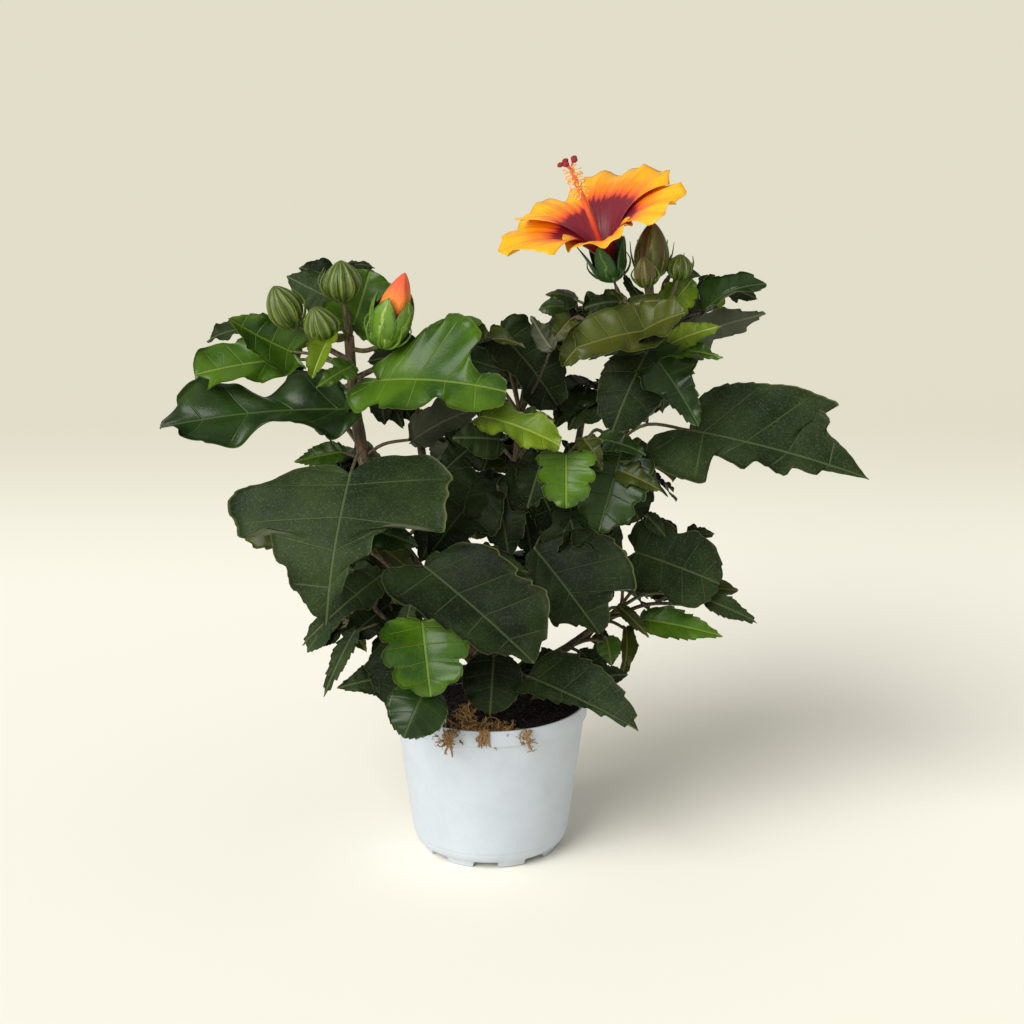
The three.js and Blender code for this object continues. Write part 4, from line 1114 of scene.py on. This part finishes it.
filament = smooth_path([(0, 0, -0.0004), (0.0004, 0, 0.003), (0.0002, 0.0003, 0.0055)], 7)
stamen = pattern("stamen", [tube(filament, 0.00022, 5), ball(filament[-1], 0.00095, 0.6, (1, 0, 0), 6, 8)])
upper = Sheaf()
upper.add(*tube(column_path[29:39], 0.0014, 14))
upper_column = upper.piece("upper_column", [])
area = sum(p.area for p in upper_column.data.polygons)
stamens = scatter("stamens", upper_column, stamen, ANTHER, 85 / area, 5, (0.6, 0.95), 0.5)
bpy.data.objects.remove(upper_column)
bpy.data.objects.remove(stamen)
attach(stamens, "root")
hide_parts("column")


def bud_finish(name, deep, light, rib, groove, rib_width=0.24):
    """A ribbed bud: pale ribs up each sepal, a rosy or green skin between, fine down all over."""
    f = Finish(name)
    parts = f.parts(f.place("bud"))
    sway = f.math("MULTIPLY_ADD", f.noise(150.0, detail=2.0), 0.5, -0.25)
    round_it = f.math("FRACT", f.math("ADD", parts[0], sway))
    wave = f.math("ABSOLUTE", f.math("SUBTRACT", round_it, 0.5))
    keel = f.step(wave, rib_width, 0.02)
    seam = f.step(wave, 0.34, 0.47)
    skin = f.noise(260.0, detail=4.0)
    colour = f.mix(skin, deep, light)
    colour = f.mix(f.math("MULTIPLY", keel, 0.75), colour, rib)
    colour = f.mix(f.math("MULTIPLY", seam, 0.8), colour, groove)
    height = f.math("ADD", f.math("MULTIPLY", keel, 1.0), f.math("MULTIPLY", skin, 0.4))
    return f.done(colour, 0.42, f.bump(height, 0.0007, 0.7))


BUD_GREEN = bud_finish("bud_green", (0.04, 0.075, 0.004), (0.09, 0.145, 0.01), (0.2, 0.26, 0.04),
                       (0.03, 0.024, 0.005))
BUD_PALE = bud_finish("bud_pale", (0.07, 0.17, 0.008), (0.15, 0.28, 0.015), (0.34, 0.46, 0.1),
                      (0.04, 0.09, 0.01), 0.1)
BUD_BROWN = bud_finish("bud_brown", (0.035, 0.04, 0.005), (0.085, 0.085, 0.01), (0.15, 0.15, 0.02),
                       (0.12, 0.035, 0.008))
TWISTED = petal_finish("petal_twisted", (0.55, 0.05, 0.02), (0.75, 0.12, 0.02), (0.92, 0.26, 0.03),
                       (0.8, 0.1, 0.03), (0.25, 0.5, 0.9))


BUD_LOOKS = [BUD_GREEN, BUD_PALE, BUD_BROWN, TWISTED]
GREEN, PALE, BROWN, ROSY = range(4)
BUD_SIDES, BUD_ROWS = 60, 30
BRACT_COUNT, BRACT_THICK = 8, 0.0009


def bud_body(sheaf, foot, axis, length, radius, wear, fullness, ribbing, lobes=5, twist=0.0):
    """A ribbed pointed bud, with its own map: ribs round it and height up it."""
    t = np.linspace(0, 1, BUD_ROWS)
    path = foot + np.multiply.outer(t * length, unit(axis))
    radii = radius * np.maximum(np.sin(np.pi * t**fullness) ** 0.62, 0.06)
    radii[0] = radius * 0.34

    def relief(share, angle):
        turn = angle * lobes / 2 + twist * share
        valley = np.abs(np.sin(turn))
        fine = 0.25 * np.abs(np.sin(2 * turn + 0.8))
        return ribbing * (valley**0.8 + fine - 0.7) * np.clip(share * 6, 0, 1)

    points, faces = tube(path, radii, BUD_SIDES, relief)
    rows_of = []
    for f in faces:
        around = f % BUD_SIDES
        closing = (around == 0) & (around.max(1) == BUD_SIDES - 1)[:, None]
        around = np.where(closing, BUD_SIDES, around)
        level = np.clip(f // BUD_SIDES, 0, BUD_ROWS - 1) / (BUD_ROWS - 1)
        rows_of.append(np.stack([around / BUD_SIDES * lobes, level], -1).reshape(-1, 2))
    sheaf.add(points, faces, wear, **{sheaf_map: np.concatenate(rows_of) for sheaf_map in sheaf.maps})


def bracts(sheaf, foot, axis, reach, curl, wear, spread, seed):
    """Narrow green bracts that stand round a bud's foot and curve out and up."""
    local = np.random.default_rng(seed)
    axis = unit(axis)
    side = unit(np.cross(axis, (0.3, 1, 0.1)))
    other = np.cross(axis, side)
    radii = np.interp(np.linspace(0, 1, 9), [0, 0.4, 1], [BRACT_THICK, BRACT_THICK, BRACT_THICK * 0.25])
    for k in range(BRACT_COUNT):
        turn = 2 * math.pi * (k + 0.3 * local.random()) / BRACT_COUNT
        out = side * math.cos(turn) + other * math.sin(turn)
        far = reach * (0.85 + 0.3 * local.random())
        bend = [foot + out * 0.0025, foot + out * far * spread * 0.7 + axis * far * 0.2,
                foot + out * far * spread + axis * far * 0.6,
                foot + out * far * spread * (1 - curl) + axis * far]
        points, faces = tube(smooth_path(bend, 9), radii, 6)
        blank = np.concatenate([np.zeros((f.size, 2)) + 0.3 for f in faces])
        sheaf.add(points, faces, wear, **{sheaf_map: blank for sheaf_map in sheaf.maps})


def sepals(sheaf, foot, axis, first_turn, reach, profile, half_width, wear):
    """Five thin sepals round an axis, profile giving the distance out and half_width the degrees."""
    right = unit(np.array([1.0, 0, 0]) - axis * axis[0])
    back = np.cross(axis, right)
    rows, columns = 9, 16
    w = np.linspace(-1, 1, rows)[:, None]
    t = np.linspace(0, 1, columns)[None, :]
    quads = grid_faces(rows, columns)[:, ::-1]
    ring = border(rows, columns)
    after = np.roll(ring, -1)
    for k in range(5):
        turn = np.radians(first_turn + 72 * k + w * half_width(t))
        out = np.broadcast_to(profile(t), turn.shape)
        up = np.broadcast_to(reach * t, turn.shape)
        grid = foot + out[..., None] * (np.cos(turn)[..., None] * right + np.sin(turn)[..., None] * back)
        grid = grid + up[..., None] * axis
        flat = np.stack(np.broadcast_arrays(w * 0.5 + 0.5, t), -1).reshape(-1, 2)
        top = grid.reshape(-1, 3)
        size = len(top)
        under = top - normals_of(top, [quads]) * 0.0006
        rim = np.stack([ring, after, after + size, ring + size], -1)
        corner_maps = np.concatenate([flat[quads.ravel()], flat[quads[:, ::-1].ravel()],
                                      flat[np.stack([ring, after, after, ring], -1).ravel()]])
        sheaf.add(np.vstack([top, under]), [quads, quads[:, ::-1] + size, rim], wear,
                  **{sheaf_map: corner_maps for sheaf_map in sheaf.maps})


# node, axis, length, radius, wear, fullness, bract reach, bract curl
BUDS = [("bud_left_outer", (-0.45, -0.1, 1), 30, 11, GREEN, 0.85, 22, 0.3),
        ("bud_left_top", (-0.05, 0, 1), 27, 12, GREEN, 0.8, 20, 0.3),
        ("bud_left_front", (-0.3, -0.3, 1), 24, 10.5, GREEN, 0.8, 18, 0.35),
        ("bud_opening", (0.25, -0.1, 1), 50, 15, PALE, 0.75, 24, 0.2),
        ("bud_right_tall", (0.02, 0, 1), 37, 11, BROWN, 0.72, 24, -0.1),
        ("bud_right_front", (-0.1, -0.2, 1), 20, 7, BROWN, 0.8, 12, 0.3),
        ("bud_right_outer", (0.05, 0, 1), 16, 8, GREEN, 0.8, 13, 0.1)]
for number, (node, axis, length, radius, wear, fullness, reach, curl) in enumerate(BUDS):
    low, high = corners(node)
    axis = unit(axis)
    foot = (low + high) / 2 - axis * length * MM / 2
    sheaf = Sheaf(("bud", "petal"))
    if node == "bud_opening":
        bud_body(sheaf, foot, axis, 0.03, 0.0105, PALE, 0.62, 0.05)
        bud_body(sheaf, foot + axis * 0.012, axis + (0.06, 0, 0), 0.04, 0.0095, ROSY, 0.62, 0.16, twist=3.2)
        sepals(sheaf, foot, axis, -112, 0.037, lambda t: 0.0035 + 0.0108 * np.sin(2.45 * t) ** 0.7,
               lambda t: 44 * (1 - t**4) + 1, PALE)
    else:
        lobes = 5 if wear == BROWN else 11
        bud_body(sheaf, foot, axis, length * MM, radius * MM, wear, fullness, 0.13, lobes)
    bract_wear = PALE if wear == PALE else GREEN
    bracts(sheaf, foot, axis, reach * MM, curl, bract_wear, 1.16 * radius / reach, number)
    made = sheaf.piece(node + "_ribbed", BUD_LOOKS)
    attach(made, "root")
    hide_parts(node)
    start = nearest_limb(foot, 0.004)[0]
    stalk = Sheaf()
    stalk.add(*tube(smooth_path([start, (start + foot) / 2 - axis * 0.002, foot + axis * 0.002], 12),
                    np.linspace(1.7, 1.5, 12) * MM, 8))
    made = stalk.piece(node + "_stalk", [GREEN_BARK])
    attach(made, "root")
    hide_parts(node)

calyx = Sheaf(("bud",))
bud_body(calyx, CALYX_FOOT - BLOOM_AXIS * 0.001, BLOOM_AXIS, 0.0175, 0.0082, 0, 0.62, 0.08)
sepals(calyx, CALYX_FOOT - BLOOM_AXIS * 0.001, BLOOM_AXIS, -100, 0.029,
       lambda t: 0.0035 + 0.007 * np.minimum(1, 3.2 * t) ** 0.6 + 0.0062 * t**1.6,
       lambda t: 39 * (1 - t**2.2) + 1.5, 0)
bracts(calyx, CALYX_FOOT, BLOOM_AXIS, 0.015, 0.1, 0, 0.85, 12)
CALYX_GREEN = bud_finish("calyx_green", (0.014, 0.05, 0.006), (0.04, 0.11, 0.012), (0.12, 0.22, 0.04),
                         (0.01, 0.035, 0.005), 0.1)
made = calyx.piece("calyx_sepals", [CALYX_GREEN])
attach(made, "root")
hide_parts("calyx")


# ------------------------------------------------------------------ pot
POT_STEPS = 240
NOTCH_HEIGHT = 4.0 * MM
# radius and height in millimetres, round the outside, under the foot, and up the inside
POT_OUTLINE = [(64.2, 105), (64.8, 104.9), (65, 104.5), (65, 95), (64.7, 94.2), (63.9, 93.9),
               (63.3, 93.6), (62.9, 92.6), (62.2, 86), (59.5, 66), (56.8, 46), (54.2, 26), (52.4, 13.5),
               (52, 11.6), (51.75, 11.3), (51.75, 10.9), (50.2, 7.2), (48.4, 5.2), (46.9, 4.2),
               (45.9, 2.4), (45.6, 0.5), (45.1, 0), (42, 0), (37.6, 0), (37.1, 0.5), (36.9, 3.2),
               (36.4, 4.3), (34, 4.5), (14.6, 4.5), (13.5, 4.2), (13.1, 3), (12.9, 0.4), (12.5, 0),
               (4, 0), (0, 0)]
POT_INSIDE = [(0, 6.4), (12, 6.4), (30, 6.4), (45.5, 6.6), (48.4, 8), (50.2, 11), (52.6, 26), (55.2, 46),
              (57.9, 66), (60.6, 86), (61.4, 92.8), (62.6, 94.6), (63.3, 96), (63.4, 104.4),
              (63.6, 104.9)]


def lathe(outline, steps, change):
    """A closed turned form from radii and heights in metres; change moves its points."""
    angle = np.linspace(0, 2 * math.pi, steps, endpoint=False)
    around = np.stack([np.cos(angle), np.sin(angle)], -1)
    points, starts = [], []
    for radius, height in outline:
        if radius > 1e-6:
            starts.append((len(points), True))
            points.extend(np.column_stack([around * radius, np.full(steps, height)]))
        else:
            starts.append((len(points), False))
            points.append(np.array([0.0, 0.0, height]))
    quads, fans = [], []
    k = np.arange(steps)
    after = (k + 1) % steps
    for (a, full_a), (b, full_b) in zip(starts, starts[1:] + starts[:1]):
        if full_a and full_b:
            quads.append(np.stack([a + k, b + k, b + after, a + after], -1))
        elif full_a:
            fans.append(np.stack([a + k, np.full(steps, b), a + after], -1))
        elif full_b:
            fans.append(np.stack([np.full(steps, a), b + k, b + after], -1))
    return change(np.array(points)), [np.concatenate(quads), np.concatenate(fans)]


def notch(points):
    """Lifts the foot where the eight notches let water run out."""
    turn = np.degrees(np.arctan2(points[:, 1], points[:, 0])) + 94
    off = np.abs((turn + 22.5) % 45 - 22.5)
    radius = np.hypot(points[:, 0], points[:, 1])
    inside = (off < 10.4) & (radius > 0.03) & (points[:, 2] < NOTCH_HEIGHT)
    points[inside, 2] = NOTCH_HEIGHT - (NOTCH_HEIGHT - points[inside, 2]) * 0.02
    return points


pot_sheaf = Sheaf()
pot_sheaf.add(*lathe([(r * MM, z * MM) for r, z in POT_OUTLINE + POT_INSIDE], POT_STEPS, notch))
f = Finish("pot_white")
scuff = f.noise(38.0, detail=6.0, rough=0.65)
speck = f.step(f.noise(900.0, detail=2.0), 0.66, 0.74)
height_here = f.parts(f.place())[2]
mould = f.math("SINE", f.math("MULTIPLY", height_here, 2600.0))
tone = f.mix(f.step(scuff, 0.35, 0.75), (0.56, 0.615, 0.68), (0.515, 0.57, 0.635))
tone = f.mix(f.math("MULTIPLY", speck, 0.35), tone, (0.35, 0.32, 0.27))
relief = f.math("ADD", f.math("MULTIPLY", mould, 0.06), scuff)
POT_WHITE = f.done(tone, f.math("MULTIPLY_ADD", scuff, 0.25, 0.28), f.bump(relief, 0.0002, 0.35))
POT_INNER = grainy("pot_inside", 300.0, (0.012, 0.012, 0.012), (0.035, 0.034, 0.033), 0.45, 0.0003, 0.4, 4.0)
body = pot_sheaf.piece("pot_body", [POT_WHITE, POT_INNER])
# the dark inside: floor, wall and lip, told from the white outside by height and reach
for polygon in body.data.polygons:
    place = polygon.center
    reach = math.hypot(place.x, place.y)
    floor_or_wall = reach < max(0.0455, 0.0505 + (place.z - 0.0075) * 0.128)
    lip = place.z > 0.0935 and reach < 0.06352
    if lip or (place.z > 0.0062 and floor_or_wall):
        polygon.material_index = 1
DRAIN_HOLES = 6
cutters = []
for k in range(DRAIN_HOLES):
    turn = math.radians(360 / DRAIN_HOLES * k)
    bpy.ops.mesh.primitive_cylinder_add(vertices=28, radius=0.004, depth=0.02,
                                        location=(0.026 * math.cos(turn), 0.026 * math.sin(turn), 0.006))
    cutters.append(bpy.context.object)
bpy.ops.object.select_all(action="DESELECT")
for cutter in cutters:
    cutter.select_set(True)
bpy.context.view_layer.objects.active = cutters[0]
bpy.ops.object.join()
drill = cutters[0]
bored = body.modifiers.new("drain_holes", "BOOLEAN")
bored.object = drill
bored.operation = "DIFFERENCE"
bpy.context.view_layer.update()
mesh = bpy.data.meshes.new_from_object(body.evaluated_get(bpy.context.evaluated_depsgraph_get()))
bpy.data.objects.remove(body)
bpy.data.objects.remove(drill)
body = bpy.data.objects.new("pot_body", mesh)
bpy.context.scene.collection.objects.link(body)
mesh.set_sharp_from_angle(angle=math.radians(38))
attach(body, "root")
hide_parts("pot")


# ------------------------------------------------------------------ soil, crumbs and roots
def soil_height(x, y):
    """The lumpy top of the peat, in metres above the level at the rim."""
    rough = 0.0
    for k, (size, depth) in enumerate(((0.03, 1.1), (0.017, 0.7), (0.009, 0.45), (0.005, 0.3))):
        a, b = 3 + 1.7 * k, 6 + 2.3 * k
        rough = rough + depth * np.sin(x / size + a + 1.3 * np.sin(y / size * 0.8)) * np.cos(y / size - b)
    away = np.hypot(x, y)
    return (rough * 0.8 + 2.2 * np.exp(-(away / 0.03) ** 2)) * MM


def soil_change(points):
    top = points[:, 2] > 0.08
    reach = np.hypot(points[top, 0], points[top, 1])
    points[top, 2] += soil_height(points[top, 0], points[top, 1]) * np.clip((0.0615 - reach) / 0.004, 0, 1)
    return points


SOIL_TOP = 92.5
SOIL_SIDE = [(61, 90), (57.6, 66), (52.4, 27), (49.6, 12), (46, 7.5), (30, 6.6), (0, 6.6)]
soil_outline = [(61.2 * MM * share, SOIL_TOP * MM) for share in np.linspace(0, 1, 46)]
soil_outline += [(r * MM, z * MM) for r, z in SOIL_SIDE]
soil_sheaf = Sheaf()
points, faces = lathe(soil_outline, 150, soil_change)
soil_sheaf.add(points, [f[:, ::-1] for f in faces])
f = Finish("peat")
grain = f.noise(700.0, detail=6.0, rough=0.7)
clump = f.noise(130.0, detail=4.0)
tone = f.mix(f.step(grain, 0.35, 0.7), (0.006, 0.004, 0.003), (0.035, 0.022, 0.013))
tone = f.mix(f.math("MULTIPLY", f.step(clump, 0.5, 0.72), 0.5), tone, (0.07, 0.045, 0.025))
PEAT = f.done(tone, 0.85, f.bump(f.math("ADD", grain, clump), 0.002, 0.9))
GLINT = grainy("peat_glint", 1400.0, (0.09, 0.065, 0.04), (0.3, 0.25, 0.18), 0.5, 0.0005, 0.6)
soil = soil_sheaf.piece("soil_peat", [PEAT])
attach(soil, "root")
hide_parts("soil")

rng = np.random.default_rng(77)
points, faces = ball(np.zeros(3), 0.001, 0.8, UP, 5, 6)
crumb = pattern("crumb", [(points * (1 + 0.35 * (rng.random((len(points), 1)) - 0.5)), faces)])
DISC_TURNS, DISC_STEPS = 60, 24
disc = Sheaf()
radius, turn = np.meshgrid(np.linspace(0.004, 0.0595, DISC_STEPS),
                           np.linspace(0, 2 * math.pi, DISC_TURNS, endpoint=False))
x, y = radius * np.cos(turn), radius * np.sin(turn)
disc_points = np.stack([x, y, SOIL_TOP * MM + soil_height(x, y)], -1).reshape(-1, 3)
here = np.arange(DISC_TURNS)[:, None] * DISC_STEPS + np.arange(DISC_STEPS - 1)
there = np.roll(here, -1, axis=0)
disc_faces = [here, here + 1, there + 1, there]
disc.add(disc_points, [np.stack(np.broadcast_arrays(*disc_faces), -1).reshape(-1, 4)])
soil_top = disc.piece("soil_top", [])
crumbs = scatter("soil_crumbs", soil_top, crumb, PEAT, 150000, 4, (0.5, 1.7), 1.5)
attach(crumbs, "root")
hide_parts("soil")
# pale flecks on the peat: partly painted glints of light, partly pale grit
glints = scatter("soil_chips", soil_top, crumb, GLINT, 14000, 8, (0.25, 0.7), 1.5)
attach(glints, "root")
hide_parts("soil")
bpy.data.objects.remove(soil_top)
bpy.data.objects.remove(crumb)

ROOT = grainy("root_fibre", 900.0, (0.15, 0.075, 0.024), (0.42, 0.25, 0.09), 0.8, 0.0006, 0.8, 4.0)
# a crumbly tuft of dry roots on the soil behind the front rim, with three clumps that hang over it
FIBRE_STEPS = 4
tuft = Sheaf()


def fibre_run(start, heading, wander, pull, thick):
    path = [np.asarray(start, float)]
    for _ in range(FIBRE_STEPS):
        heading = unit(heading + rng.normal(size=3) * wander + np.array(pull))
        path.append(path[-1] + heading * rng.uniform(1.4, 3.2))
    tuft.add(*tube(smooth_path(np.array(path) * MM, 10), np.linspace(thick, thick * 0.5, 10) * MM, 5))


for k in range(330):
    across = rng.uniform(-31, 26)
    heap = 14 * max(0.2, 1 - ((across + 6) / 32) ** 2)
    start = (across, -57 + rng.uniform(-3.5, 6), 94 + heap * rng.random())
    fibre_run(start, rng.normal(size=3) + (0, 0, 0.3), 0.8, (0, 0.03, 0.02), rng.uniform(0.35, 0.95))
for k in range(90):
    start = (rng.normal(-15, 2.6), rng.normal(-56, 1.6), 95 + 22 * rng.random())
    fibre_run(start, rng.normal(size=3) + (0, 0, 1.2), 0.7, (0, 0, 0.1), rng.uniform(0.4, 0.9))
for centre, drop, count in ((-26, 15, 6), (-4, 11, 11), (25, 5, 4)):
    for k in range(count):
        across = centre + rng.normal() * 1.2
        start = (across, -62.0, 102)
        lip = [start, (across + rng.normal(), -64.6, 106.2), (across + rng.normal(), -66.4, 103.5)]
        fall = rng.uniform(0.35, 1.0) * drop
        lip += [(across + rng.normal() * 1.4, -66.6, 103 - fall * 0.5),
                (across + rng.normal() * 2, -66.2, 103 - fall)]
        tuft.add(*tube(smooth_path(np.array(lip) * MM, 14), np.linspace(0.8, 0.5, 14) * MM, 5))
fibres = tuft.piece("root_tuft", [ROOT])
strand = smooth_path(np.array([(0, 0, -0.4), (0.5, 0, 0.8), (-0.3, 0.5, 1.8), (0.6, 0.3, 2.6)]) * MM, 6)
fibre = pattern("fibre", [tube(strand, 0.0003, 4)])
area = sum(p.area for p in fibres.data.polygons)
fuzz = scatter("root_fuzz", fibres, fibre, ROOT, 1500 / area, 6, (0.35, 0.85), 0.9)
bpy.data.objects.remove(fibre)
for part in (fibres, fuzz):
    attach(part, "root")
    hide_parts("soil")


# ------------------------------------------------------------------ the pieces of foliage
for node in FOLIAGE + BACK:
    leaves = sprays[node].piece(node + "_leaves")
    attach(leaves, "root")
    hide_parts(node)
    twigs = stems[node].sheaf.piece(node + "_twigs", STEM_LOOKS)
    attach(twigs, "root")
    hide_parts(node)

# ------------------------------------------------------------------ floor, light and camera
# the floor turns from cream in front to a darker beige further back: painted shade where the light falls off
f = Finish("floor")
far = f.step(f.parts(f.place())[1], 0.5, 1.1)
FLOOR_PAINTED_FALLOFF = f.done(f.mix(far, (0.97, 0.95, 0.85), (0.74, 0.725, 0.605)), 0.9, Specular_IOR_Level=0.0)
bpy.ops.mesh.primitive_plane_add(size=24, location=(0, 0, 0))
floor = bpy.context.object
floor.name = "floor"
floor.data.materials.append(FLOOR_PAINTED_FALLOFF)
floor.data.transform(Matrix.Translation((0, 4.0, -0.0004)))
floor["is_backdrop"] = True

world = bpy.data.worlds.new("room")
bpy.context.scene.world = world
world.use_nodes = True
background = world.node_tree.nodes["Background"]
background.inputs["Color"].default_value = (1.0, 0.98, 0.94, 1)
background.inputs["Strength"].default_value = 0.44
bpy.context.scene.view_settings.view_transform = "Standard"


def aim(made, place, towards):
    """Puts a lamp at a place, looking towards a point."""
    made.location = place
    made.rotation_euler = (Vector(towards) - Vector(place)).to_track_quat("-Z", "Y").to_euler()
    bpy.context.scene.collection.objects.link(made)


sun = bpy.data.lights.new("key", "SUN")
sun.energy = 3.12
sun.angle = math.radians(46)
sun.color = (1.0, 0.985, 0.96)
aim(bpy.data.objects.new("key", sun), (-1.6, -1.9, 1.9), (0, 0, 0.1))

camera = bpy.data.objects.new("camera", bpy.data.cameras.new("camera"))
bpy.context.scene.collection.objects.link(camera)
camera.location = (0.0146, -1.8, 0.792)
camera.rotation_euler = (math.radians(72.8), 0, 0)
camera.data.lens = 100.5
camera.data.sensor_width = 36
bpy.context.scene.camera = camera

low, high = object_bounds()
